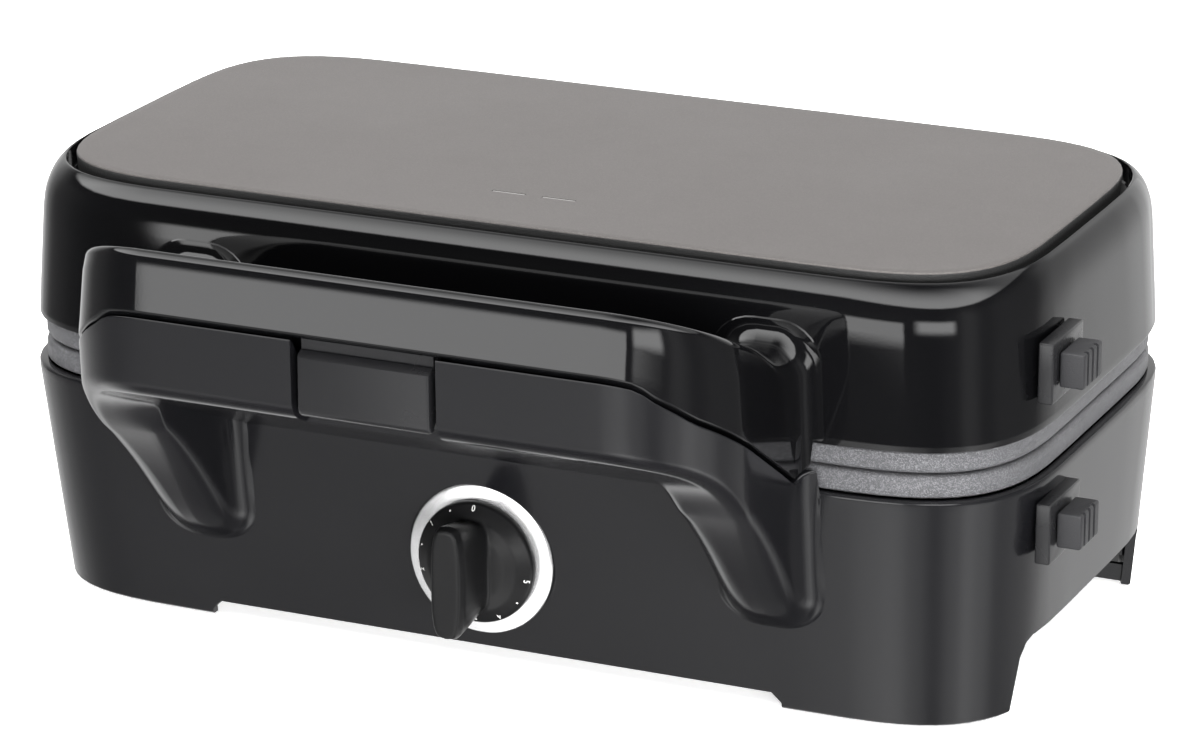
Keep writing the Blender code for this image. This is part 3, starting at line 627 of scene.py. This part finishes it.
def bail(top, bottom, wall_y, radii, root, lean):
    """The handle as a loft round its U-shaped plan.

    top and bottom give heights at (y, bend share), wall_y the wall's face at a height, radii the edge
    rounding (top, bottom) as functions of the distance from the wall, root the fillets at the wall (sides,
    top, bottom) and lean the draft of the outer face.
    """
    right = arm_stations()
    whole = [station + (1,) for station in right] + [station + (-1,) for station in reversed(right)]
    loops = []
    for inner, outer, share, part, side in whole:
        start, end = Vector(inner), Vector(outer)
        width = (end - start).length
        far = CLEAR_OF_WALL if part is None else part * ARM_REACH
        edge = (radii[0](far), radii[1](far))
        loop = []
        for distance, level, depth in section_spots(width, edge):
            spot = start.lerp(end, distance / width)
            z = MID_HANDLE_Z
            for _ in range(3 if part is not None else 1):
                if part is not None:
                    reach = wall_y(z)
                    spot.y = reach + part * (start.y - reach) if part > 0 else reach - part * ARM_REACH
                high, low = top(spot.y, share), bottom(spot.y, share)
                if depth is None:
                    z = low + edge[1] + (high - low - edge[0] - edge[1]) * level
                else:
                    z = high - depth if level else low + depth
            rise = min(max((z - low) / max(high - low, 0.1), 0.0), 1.0)
            across = (end - start) / width
            gap = wall_y(z) - spot.y
            lopsided = 2 * distance / width - 1
            spot = spot + across * (lopsided * fillet(gap, root[0]))
            if distance > width / 2:
                spot = spot - across * (lean(rise) * lopsided)
            z += rise * fillet(gap, root[1]) - (1 - rise) * fillet(gap, root[2])
            loop.append((side * spot.x, spot.y, z))
        loops.append(loop)
    return loft(loops)


def section_spots(width, edge):
    """(distance across, height share, depth below the edge) round one section.

    A flank point has no depth. It lies at its share of the height between the two rounded edges.
    """
    spots = []
    corners = [
        (width, 1, -90, 0, edge[1]),
        (width, 1, 0, 90, edge[0]),
        (0, -1, 90, 0, edge[0]),
        (0, -1, 0, -90, edge[1]),
    ]
    for corner, (side, way, first, last, radius) in enumerate(corners):
        for step in range(8):
            angle = math.radians(first + (last - first) * step / 7)
            across = side - way * radius * (1 - math.cos(angle))
            spots.append((across, 0.0 if corner in (0, 3) else 1.0, radius * (1 - abs(math.sin(angle)))))
        if corner in (0, 2):
            for share in (0.2, 0.4, 0.6, 0.8):
                spots.append((side, share if corner == 0 else 1 - share, None))
        else:
            near, far = edge[0] if corner == 1 else edge[1], width - (edge[0] if corner == 1 else edge[1])
            for share in (0.15, 0.3, 0.45, 0.6, 0.72, 0.84, 0.93):
                fraction = 1 - share if corner == 1 else share
                spots.append((near + (far - near) * fraction, 1.0 if corner == 1 else 0.0, 0.0))
    return spots


def swelling(start, end, thin, thick):
    """An edge radius that grows from thin to thick as the distance from the wall drops from end to start."""

    def radius(distance):
        share = min(max((end - distance) / (end - start), 0.0), 1.0)
        return thin + (thick - thin) * share * share * (3 - 2 * share)

    return radius


# Distances of an arm's sections from the wall, close together where the fillet is.
NEAR_WALL = [-2.5, -0.6, 0.02, 0.2, 0.5, 0.9, 1.4, 2.1, 2.9, 3.9, 5.1, 6.6, 8.4, 10.5]
NEAR_WALL += [13.0, 16.0, 20.0, 24.0, 28.0, 31.5, 35.0]
# A first guess at a point's height, and the distance from the wall that the bends and the bar count as.
MID_HANDLE_Z = 90.0
CLEAR_OF_WALL = 60.0


def pin_bore(half_length):
    """Cutter for the latch pin's hole."""
    ends = [(0, half_length), (PIN_BORE, half_length), (PIN_BORE, -half_length), (0, -half_length)]
    return turned(ends, (0, PIN_Y, PIN_Z), (1, 0, 0), 24)


def upper_bail():
    top_line = [(-147.0, 131.2), (-145.2, 130.6), (-93.0, 107.7), (-84.0, 106.2), (-76.0, 106.0)]
    under = [(y, z + 0.6) for y, z in PARTING]
    under += [(-84.0, 73.0), (-81.9, 74.6), (-81.5, 81.2), (-79.0, 81.6), (-76.0, 82.0)]

    def wall_y(z):
        return -80.5 + 1.5 * (z - LID_Z) / 31.4

    def lean(rise):
        return 2.2 * rise + 1.1 * max(rise - 0.72, 0.0) ** 2 / 0.0784

    shape = bail(
        lambda y, share: eased(top_line, y, 3.0) if y > -140 else along(top_line, y),
        lambda y, share: along(under, y),
        wall_y,
        (swelling(2.0, 30.0, 2.2, 8.0), lambda distance: 0.7),
        (5.5, 7.0, 0.0),
        lean,
    )
    pocket = [(-145.8, 100.0), (-136.4, 96.0), (-136.4, 123.0), (-145.8, 123.0)]
    pocket_cut = extruded(pocket, "x", -24.6, 24.6)
    return solid(shape, [("DIFFERENCE", pocket_cut), ("DIFFERENCE", pin_bore(28.5))])


def lower_bail():
    seam = [(y, z - 0.5) for y, z in PARTING]
    seam += [(-84.0, 72.4), (-81.3, 73.4), (-81.2, 66.4), (-80.0, 66.0), (-79.0, 61.1), (-77.0, 47.7)]
    seam += [(-75.0, 34.0)]
    strap = [(-147.0, 91.6), (-142.5, 89.9), (-134.0, 86.0), (-120.0, 72.6), (-106.0, 59.0), (-94.0, 43.5)]
    strap += [(-83.0, 29.2), (-76.8, 24.8), (-73.0, 24.5)]

    def under(y, share):
        shelf = 89.9 - 0.4295 * (y + 142.5)
        blend = share * share * (3 - 2 * share)
        return eased(strap, y, 9.0) * (1 - blend) + shelf * blend

    def wall_y(z):
        return base_front(min(max(z, 0.0), RIM_Z))

    shape = bail(
        lambda y, share: along(seam, y),
        under,
        wall_y,
        (lambda distance: 0.7, swelling(6.0, 46.0, 4.2, 9.0)),
        (5.0, 0.0, 1.2),
        lambda rise: -0.5 * rise + 0.5,
    )
    gap = block((-20.8, -152.0, 80.0), (20.8, -138.0, 116.0))
    return solid(shape, [("DIFFERENCE", gap)])


def handle_shelf():
    """The thin slanting web between the bar, the arms and the front wall."""
    profile = [(-128.0, 87.8), (-81.0, 67.0), (base_front(66.6) + 1.0, 66.4)]
    profile += [(base_front(62.6) + 1.0, 62.3), (-128.0, 83.67)]
    return extruded(profile, "x", -ARM_INNER - 2, ARM_INNER + 2)


def latch_clip():
    """Clip plate with a rounded lower edge, stepped neck and hook, and the strip above it."""
    section = [(-147.1, 108.5), (-147.1, 94.6), (-146.7, 93.3), (-145.7, 92.4), (-144.6, 92.2)]
    section += [(-140.8, 92.2), (-140.8, 94.4), (-143.0, 94.8), (-143.0, 107.0), (-139.4, 112.0)]
    section += [(-138.4, 114.0), (-138.4, 120.8), (-143.6, 120.8), (-144.5, 119.6), (-144.5, 110.0)]
    section += [(-143.9, 109.8), (-143.9, 108.5)]
    bm = extruded(section, "x", -18.9, 18.9)
    ends = [edge for edge in bm.edges if abs(edge.verts[0].co.x - edge.verts[1].co.x) < 0.01]
    front = []
    for edge in ends:
        foremost = min(vert.co.y for vert in edge.verts)
        highest = max(vert.co.z for vert in edge.verts)
        if foremost < -145.5 and highest < 109:
            front.append(edge)
    round_edges(bm, front, 0.8, 3)
    return solid(bm, [("DIFFERENCE", pin_bore(30.0))])


# ---------------------------------------------------------------- panel, plates


def panel():
    """The lid's top plate: satin face with a rounded edge on a dark downturned rim."""
    rings = [outline(TOP_Z - 2.4, PANEL, inset=3.0), outline(DECK_Z + 0.3, PANEL, inset=2.6)]
    rings += [outline(DECK_Z + 0.3, PANEL, inset=0.6), outline(TOP_Z - 1.2, PANEL)]
    rings += [outline(TOP_Z - 0.5, PANEL, inset=0.08), outline(TOP_Z - 0.15, PANEL, inset=0.3)]
    rings += [outline(TOP_Z, PANEL, inset=0.75), outline(TOP_Z, PANEL, inset=3.0)]
    slits = [block((x - 5.0, -43.4, 110.0), (x + 5.0, -42.4, 130.0)) for x in SLITS.values()]
    bm = solid(loft(rings), [("DIFFERENCE", slit) for slit in slits])
    for face in bm.faces:
        middle = face.calc_center_median()
        if middle.z < TOP_Z - 0.6:
            face.material_index = 1
    return bm


def baking_plate(face_z, up):
    """Cast plate with six ring moulds: rolled rim, sloping margin, and a smooth channel round each post."""
    floor = face_z + up * 0.9
    rings = [
        outline(floor, PLATE, inset=7.6),
        outline(face_z + up * 0.2, PLATE, inset=6.0),
        outline(face_z, PLATE, inset=5.0),
        outline(face_z, PLATE, inset=2.0),
        outline(face_z + up * 0.2, PLATE, inset=1.2),
        outline(face_z + up * 0.7, PLATE, inset=0.45),
        outline(face_z + up * 1.3, PLATE, inset=0.1),
        outline(face_z + up * 1.8, PLATE),
        outline(face_z + up * 5.7, PLATE),
        outline(face_z + up * 6.1, PLATE, inset=0.4),
        outline(face_z + up * 6.1, PLATE, inset=5.0),
        outline(floor + up * 3.0, PLATE, inset=7.2),
    ]
    outer = MOULD_HALF + MOULD_WALL
    steps = []
    channels = []
    for x in (-MOULD_X, 0.0, MOULD_X):
        for y in (-MOULD_Y, MOULD_Y):
            cup = [(0.0, up * 0.6), (0.0, up * 3.0), (MOULD_R - outer * 0.92, up * 5.0)]
            for step in range(1, 10):
                angle = math.pi * step / 10
                cup.append((MOULD_R - outer * math.cos(angle), up * (MOULD_DEPTH + 2.0) * math.sin(angle)))
            cup.append((MOULD_R + outer * 0.99, up * 0.6))
            channel = [(MOULD_R - MOULD_HALF, -up * 2.0)]
            for step in range(13):
                angle = math.pi * step / 12
                channel.append((MOULD_R - MOULD_HALF * math.cos(angle), up * MOULD_DEPTH * math.sin(angle)))
            channel.append((MOULD_R + MOULD_HALF, -up * 2.0))
            steps.append(("UNION", turned(cup, (x, y, floor), (0, 0, 1), 44)))
            channels.append(("DIFFERENCE", turned(channel, (x, y, floor), (0, 0, 1), 44)))
    return solid(loft(rings), steps + channels)


# ---------------------------------------------------------------- knob and small parts


def knob():
    """Skirt, shoulder and finger bar as one moulding, remeshed so that they flow into each other."""
    skirt = [(0, 8.4), (6.0, 8.2), (10.0, 7.6), (13.4, 6.6), (15.2, 5.6), (16.8, 4.7), (17.3, 4.2)]
    skirt += [(SKIRT_R, 3.6), (SKIRT_R, 2.3), (17.0, 1.8), (14.3, 1.7), (14.3, 0.6), (0, 0.6)]
    body = turned(skirt, (0.0, KNOB_Y, KNOB_Z), (0, -1, 0), 96)
    bar = bmesh.new()
    # How far each section stands off the wall, and its half width and half length.
    sections = [(2.0, 6.4, 12.4), (8.0, 5.6, 13.2), (15.0, 5.2, 15.0), (21.0, 5.0, 16.2)]
    sections.append((23.4, 4.2, 15.5))
    first, last = sections[0], sections[-1]
    previous = []
    for section in sections:
        lift, half_width, half_length = section
        ring = []
        for step in range(24):
            angle = math.tau * step / 24
            c, s = math.cos(angle), math.sin(angle)
            x = half_width * math.copysign(abs(c) ** 0.5, c)
            z = half_length * math.copysign(abs(s) ** 0.7, s)
            ring.append(bar.verts.new((x, KNOB_Y - lift, KNOB_Z + z)))
        edges = [bar.edges.new(pair) for pair in zip(ring, ring[1:] + ring[:1])]
        if section in (first, last):
            bmesh.ops.contextual_create(bar, geom=edges)
        if previous:
            bmesh.ops.bridge_loops(bar, edges=previous + edges)
        previous = edges
    bmesh.ops.recalc_face_normals(bar, faces=bar.faces)
    flow = [
        ("REMESH", {"mode": "VOXEL", "voxel_size": 0.4, "use_smooth_shade": True}),
        ("SMOOTH", {"factor": 0.5, "iterations": 6}),
    ]
    return solid(body, [("UNION", bar)], flow)


def knob_print():
    """The dial's numbers 0 to 5 with a dot between each pair, printed round the skirt's shoulder."""
    whole = bmesh.new()
    for index in range(11):
        angle = math.radians(90 + NUMBERS_STEP * index)
        spot = Vector((NUMBERS_R * math.cos(angle), 0.0, NUMBERS_R * math.sin(angle)))
        turn = Matrix.Rotation(-(angle - math.pi / 2), 4, "Y")
        if index % 2:
            mark = block((-0.22, -0.04, -0.22), (0.22, 0.04, 0.22))
            bmesh.ops.transform(mark, matrix=Matrix.Translation(spot) @ turn, verts=mark.verts)
        else:
            mark = number(str(index // 2), Matrix.Translation(spot) @ turn)
        mesh = bpy.data.meshes.new("mark")
        mark.to_mesh(mesh)
        mark.free()
        whole.from_mesh(mesh)
        bpy.data.meshes.remove(mesh)
    onto_skirt = Matrix.Translation((0.0, KNOB_Y - 5.15, KNOB_Z))
    bmesh.ops.transform(whole, matrix=onto_skirt, verts=whole.verts)
    for vert in whole.verts:
        out = math.hypot(vert.co.x, vert.co.z - KNOB_Z)
        vert.co.y += (out - NUMBERS_R) * 0.62
    return whole


def number(text, matrix):
    """One digit, upright in XZ and facing the front, as a thin solid."""
    curve = bpy.data.curves.new("digit", "FONT")
    curve.body = text
    curve.size = 2.15
    curve.align_x = "CENTER"
    curve.align_y = "CENTER"
    curve.extrude = 0.04
    curve.resolution_u = 3
    obj = bpy.data.objects.new("digit", curve)
    bpy.context.scene.collection.objects.link(obj)
    graph = bpy.context.evaluated_depsgraph_get()
    mesh = bpy.data.meshes.new_from_object(obj.evaluated_get(graph))
    bpy.data.objects.remove(obj)
    bm = bmesh.new()
    bm.from_mesh(mesh)
    bpy.data.meshes.remove(mesh)
    bmesh.ops.transform(bm, matrix=matrix @ Matrix.Rotation(math.pi / 2, 4, "X"), verts=bm.verts)
    return bm


def trim_ring():
    profile = [(15.0, 0.1), (15.0, 0.85), (15.2, 1.05), (20.7, 1.08), (21.15, 0.92)]
    profile += [(RING_R, 0.55), (RING_R, 0.1)]
    return turned(profile, (0.0, KNOB_Y, KNOB_Z), (0, -1, 0), 120)


def release_bezel(z, out):
    """Frame round a release button, seated on the side wall."""
    whole = block((149.7 + out, -52.0, z - 8.4), (154.0 + out, -28.0, z + 8.4), 0.5)
    opening = block((140.0, -45.6, z - 3.4), (165.0, -33.4, z + 3.4), 0.3)
    return solid(whole, [("DIFFERENCE", opening)])


def release_button(z, out):
    """Grip with three finger grooves, on a stem that passes through the frame and the wall."""
    grip = block((154.3 + out, -48.1, z - 4.5), (161.2 + out, -33.2, z + 5.2), 0.7)
    stem = block((141.5 + out, -45.2, z - 2.9), (155.5 + out, -40.3, z + 2.9), 0.3)
    steps = [("UNION", stem)]
    for y in (-45.0, -41.2, -37.4):
        groove = block((160.1 + out, y - 0.75, z - 9), (163.0 + out, y + 0.75, z + 9), 0.3)
        steps.append(("DIFFERENCE", groove))
    return solid(grip, steps)


def refined(node, bevel, segments=3, sharp=30.0):
    """A copy of a CAD node, merged and cleaned of its flat triangles, with its edges rounded."""
    bm = bmesh.new()
    bm.from_mesh(NODES[node].data)
    bmesh.ops.remove_doubles(bm, verts=bm.verts, dist=1e-6)
    bmesh.ops.transform(bm, matrix=Matrix.Scale(1 / MM, 4) @ Matrix.Translation(-CENTRE), verts=bm.verts)
    bmesh.ops.dissolve_limit(bm, angle_limit=math.radians(1.5), verts=bm.verts, edges=bm.edges)
    bmesh.ops.recalc_face_normals(bm, faces=bm.faces)
    shared = [edge for edge in bm.edges if len(edge.link_faces) == 2]
    sharp_edges = [edge for edge in shared if edge.calc_face_angle() > math.radians(sharp)]
    round_edges(bm, sharp_edges, bevel, segments)
    return bm


def repaint(material, *nodes):
    for node in nodes:
        data = NODES[node].data
        data.materials.clear()
        data.materials.append(material)


def build():
    piece("lid_shell", lid_shell(), "lid", LID_BLACK, ["lid_housing"], weighted=True)
    piece("handle_upper", upper_bail(), "lid", LID_BLACK, weighted=True)
    piece("base_shell", base_shell(), "base", BASE_BLACK, ["base_housing"], weighted=True)
    piece("handle_lower", lower_bail(), "base", BASE_BLACK, weighted=True)
    piece("rear_foot_walls", rear_foot_walls(), "base", BASE_BLACK)
    piece("handle_web", handle_shelf(), "base", BASE_BLACK)
    piece("panel_plate", panel(), "lid", [PANEL_GREY, EDGE_BLACK], ["top_panel"])
    piece("clip", latch_clip(), "latch", CLIP_BLACK, ["handle_latch"])
    piece("lower_baking_plate", baking_plate(73.8, -1), "base", NONSTICK, ["lower_plate"])
    piece("upper_baking_plate", baking_plate(74.2, 1), "lid", NONSTICK, ["upper_plate"])
    piece("knob_moulding", knob(), "knob", KNOB_BLACK, ["control_knob"], sharp=60.0)
    piece("knob_numbers", knob_print(), "knob", WHITE_PRINT)
    piece("knob_trim_ring", trim_ring(), "base", CHROME, ["knob_ring"])
    for half, body, z, out, slot in (
        ("lower", "base", LOWER_RELEASE_Z, 0.5, "satin_black"),
        ("upper", "lid", UPPER_RELEASE_Z, 0.0, "gloss_black"),
    ):
        bezel, button = f"{half}_release_bezel", f"{half}_release_button"
        piece(f"{half}_bezel_rounded", release_bezel(z, out), body, CLIP_BLACK, [bezel])
        grip = release_button(z, out)
        piece(f"{half}_button_rounded", grip, f"{half}_button", BUTTON_BLACK, [button])
    for side in ("left", "right"):
        bracket, arm, pin = f"hinge_bracket_{side}", f"lid_hinge_arm_{side}", f"hinge_pin_{side}"
        piece(f"{bracket}_rounded", refined(bracket, 0.4), "base", CLIP_BLACK, [bracket])
        piece(f"{arm}_rounded", refined(arm, 0.4), "lid", LID_BLACK, [arm])
        piece(f"{pin}_turned", refined(pin, 0.3), "base", STEEL, [pin])
    for side, x in SLITS.items():
        bar = block((x - 4.9, -43.3, 115.6), (x + 4.9, -42.5, TOP_Z - 0.06), 0.1, 1)
        piece(f"light_pipe_{side}", bar, "lid", LENS, [f"indicator_lens_{side}"])
    piece("cord_gland_rounded", refined("cord_gland", 0.5), "base", RUBBER, ["cord_gland"])
    cover = refined("bottom_cover", 0.4, 2)
    piece("bottom_cover_rounded", cover, "base", COVER_BLACK, ["bottom_cover"])
    for end in ("front", "rear"):
        for side in ("left", "right"):
            pad = f"foot_pad_{end}_{side}"
            piece(f"{pad}_rounded", refined(pad, 0.6), "base", RUBBER, [pad])
    repaint(STEEL, "cover_screw_1", "cover_screw_2", "cover_screw_3", "cover_screw_4", "thermostat_shaft")
    repaint(STEEL, "lower_release_spring", "upper_release_spring")
    repaint(STEEL, "latch_pin", "latch_spring", "latch_keeper")
    repaint(HEATER, "lower_heating_element", "upper_heating_element")
    repaint(ALUMINIUM, "lower_reflector", "upper_reflector")
    repaint(CASE_BROWN, "thermostat_body")
    repaint(CERAMIC, "terminal_block", "thermal_fuse")
    repaint(COVER_BLACK, "lamp_holder")


# ---------------------------------------------------------------- stage, light and camera


def floor():
    bm = bmesh.new()
    bmesh.ops.create_grid(bm, x_segments=1, y_segments=1, size=6.0)
    bmesh.ops.translate(bm, verts=bm.verts, vec=(0.0, 0.0, -0.0003))
    mesh = bpy.data.meshes.new("floor")
    bm.to_mesh(mesh)
    bm.free()
    material, shader = start_material("floor_white", (0.95, 0.95, 0.95), 0.9)
    shader.inputs["Emission Color"].default_value = (1.0, 1.0, 1.0, 1.0)
    shader.inputs["Emission Strength"].default_value = 0.55
    mesh.materials.append(material)
    obj = bpy.data.objects.new("floor", mesh)
    bpy.context.scene.collection.objects.link(obj)
    obj.visible_glossy = False


def softbox(name, place, target, size, power):
    light = bpy.data.lights.new(name, "AREA")
    light.shape = "RECTANGLE"
    light.size, light.size_y = size
    light.energy = power
    obj = bpy.data.objects.new(name, light)
    obj.location = place
    obj.rotation_euler = (Vector(target) - Vector(place)).to_track_quat("-Z", "Y").to_euler()
    obj.visible_camera = False
    obj.visible_glossy = False
    bpy.context.scene.collection.objects.link(obj)
    return obj


class Sky:
    """Small helper that builds the studio surroundings as a world shader from direction masks."""

    def __init__(self):
        world = bpy.data.worlds.new("studio")
        bpy.context.scene.world = world
        world.use_nodes = True
        self.nodes, self.links = world.node_tree.nodes, world.node_tree.links
        self.background = self.nodes["Background"]
        where = self.nodes.new("ShaderNodeTexCoord")
        parts = self.nodes.new("ShaderNodeSeparateXYZ")
        self.links.new(where.outputs["Generated"], parts.inputs[0])
        left = self.math("MULTIPLY", parts.outputs["X"], -1.0)
        forward = self.math("MULTIPLY", parts.outputs["Y"], -1.0)
        self.azimuth = self.math("MULTIPLY", self.math("ARCTAN2", left, forward), 180 / math.pi)
        self.elevation = self.math("MULTIPLY", self.math("ARCSINE", parts.outputs["Z"], 0.0), 180 / math.pi)

    def math(self, operation, first, second):
        node = self.nodes.new("ShaderNodeMath")
        node.operation = operation
        for socket, value in zip(node.inputs, (first, second)):
            if isinstance(value, (int, float)):
                socket.default_value = value
            else:
                self.links.new(value, socket)
        return node.outputs[0]

    def ramp(self, value, start, end, low=0.0, high=1.0):
        node = self.nodes.new("ShaderNodeMapRange")
        node.interpolation_type = "SMOOTHSTEP"
        self.links.new(value, node.inputs["Value"])
        if start > end:
            start, end, low, high = end, start, high, low
        for label, setting in (("From Min", start), ("From Max", end), ("To Min", low), ("To Max", high)):
            node.inputs[label].default_value = setting
        return node.outputs["Result"]

    def curve(self, points):
        """Strength by azimuth, from (degrees, strength) pairs in rising order, at most 2."""
        share = self.math("DIVIDE", self.math("ADD", self.azimuth, 180.0), 360.0)
        node = self.nodes.new("ShaderNodeValToRGB")
        node.color_ramp.interpolation = "EASE"
        stops = node.color_ramp.elements
        for index, (azimuth, strength) in enumerate(points):
            stop = stops[index] if index < 2 else stops.new(0.999)
            stop.position = (azimuth + 180) / 360
            stop.color = (strength / 2, strength / 2, strength / 2, 1.0)
        self.links.new(share, node.inputs["Fac"])
        return self.math("MULTIPLY", node.outputs["Color"], 2.0)

    def patch(self, az, el, soft_az=3.0, soft_el=3.0):
        """Mask of a panel between two azimuths (left of the front) and two elevations, in degrees."""
        mask = self.math("MULTIPLY", self.ramp(self.azimuth, az[0] - soft_az, az[0]),
                         self.ramp(self.azimuth, az[1] + soft_az, az[1]))
        mask = self.math("MULTIPLY", mask, self.ramp(self.elevation, el[0] - soft_el, el[0]))
        return self.math("MULTIPLY", mask, self.ramp(self.elevation, el[1] + soft_el, el[1]))

    def finish(self, strength):
        joined = self.nodes.new("ShaderNodeCombineColor")
        for label in ("Red", "Green", "Blue"):
            self.links.new(strength, joined.inputs[label])
        self.links.new(joined.outputs[0], self.background.inputs["Color"])


def studio():
    """What the part reflects: a lit table, an overhead light, two front lights and a pale wall behind.

    Two area lights, which no glossy surface shows, light the part and the table as well.
    """
    sky = Sky()
    table_glow = [(-180, 1.0), (-156, 0.95), (-135, 0.5), (-105, 0.42), (-84, 1.15), (-66, 1.6)]
    table_glow += [(-50, 0.9), (-30, 0.27), (-14, 0.8), (2, 1.5), (14, 1.25), (24, 0.8)]
    table_glow += [(33, 0.45), (60, 0.3), (120, 0.9)]
    table = sky.curve(table_glow)
    table = sky.math("MULTIPLY", table, sky.ramp(sky.elevation, -15.5, -18.5))
    table = sky.math("MULTIPLY", table, sky.ramp(sky.elevation, -38.0, -46.0, 1.0, 1.7))
    table = sky.math("MULTIPLY", table, sky.ramp(sky.elevation, -47.0, -64.0, 1.0, 0.12))
    wall_glow = [(-180, 1.3), (-165, 1.1), (-152, 0.5), (-135, 0.15), (-100, 0.2), (-82, 0.12)]
    wall_glow += [(-62, 0.38), (-45, 0.08), (-30, 0.0), (0, 0.05), (20, 0.06), (45, 0.03)]
    wall_glow += [(90, 0.2), (140, 1.0)]
    wall = sky.curve(wall_glow)
    wall = sky.math("MULTIPLY", wall, sky.ramp(sky.elevation, 40.0, 15.0))
    wall = sky.math("MULTIPLY", wall, sky.ramp(sky.elevation, -18.5, -15.5))
    light = sky.math("ADD", table, wall)
    overhead = sky.ramp(sky.elevation, 33.0, 37.0)
    overhead = sky.math("MULTIPLY", overhead, sky.ramp(sky.elevation, 88.0, 40.0, 0.12, 4.6))
    front_side = sky.ramp(sky.math("ABSOLUTE", sky.azimuth, 0.0), 125.0, 80.0, 0.22, 1.0)
    light = sky.math("ADD", light, sky.math("MULTIPLY", overhead, front_side))
    for az, el, soft_az, soft_el, strength in (
        ((-6.0, 29.0), (-7.0, 3.0), 2.2, 5.0, 3.7),
        ((-44.0, -19.0), (0.0, 6.0), 7.0, 7.0, 4.4),
    ):
        patch = sky.patch(az, el, soft_az, soft_el)
        light = sky.math("ADD", light, sky.math("MULTIPLY", patch, strength))
    sky.finish(sky.math("ADD", light, 0.012))
    softbox("top_softbox", (0.0, 0.1, 1.7), (0.0, 0.0, 0.0), (2.4, 1.8), 90.0)
    softbox("front_softbox", (1.0, -1.5, 0.22), (0.0, 0.0, 0.07), (1.6, 0.4), 105.0)


def camera():
    data = bpy.data.cameras.new("camera")
    data.sensor_width = 36.0
    data.lens = FOCAL_LENGTH
    data.clip_end = 50.0
    obj = bpy.data.objects.new("camera", data)
    azimuth, elevation = math.radians(CAMERA_AZIMUTH), math.radians(CAMERA_ELEVATION)
    level = math.cos(elevation)
    back = Vector((math.sin(azimuth) * level, -math.cos(azimuth) * level, math.sin(elevation)))
    side = Vector((math.cos(azimuth), math.sin(azimuth), 0.0))
    up = back.cross(side)
    place = back * CAMERA_DISTANCE + side * AIM_RIGHT + up * AIM_UP + CENTRE
    obj.matrix_world = Matrix((
        (side.x, up.x, back.x, place.x),
        (side.y, up.y, back.y, place.y),
        (side.z, up.z, back.z, place.z),
        (0.0, 0.0, 0.0, 1.0),
    ))
    bpy.context.scene.collection.objects.link(obj)
    bpy.context.scene.camera = obj
    bpy.context.scene.view_settings.view_transform = "Standard"


camera()
build()
floor()
studio()
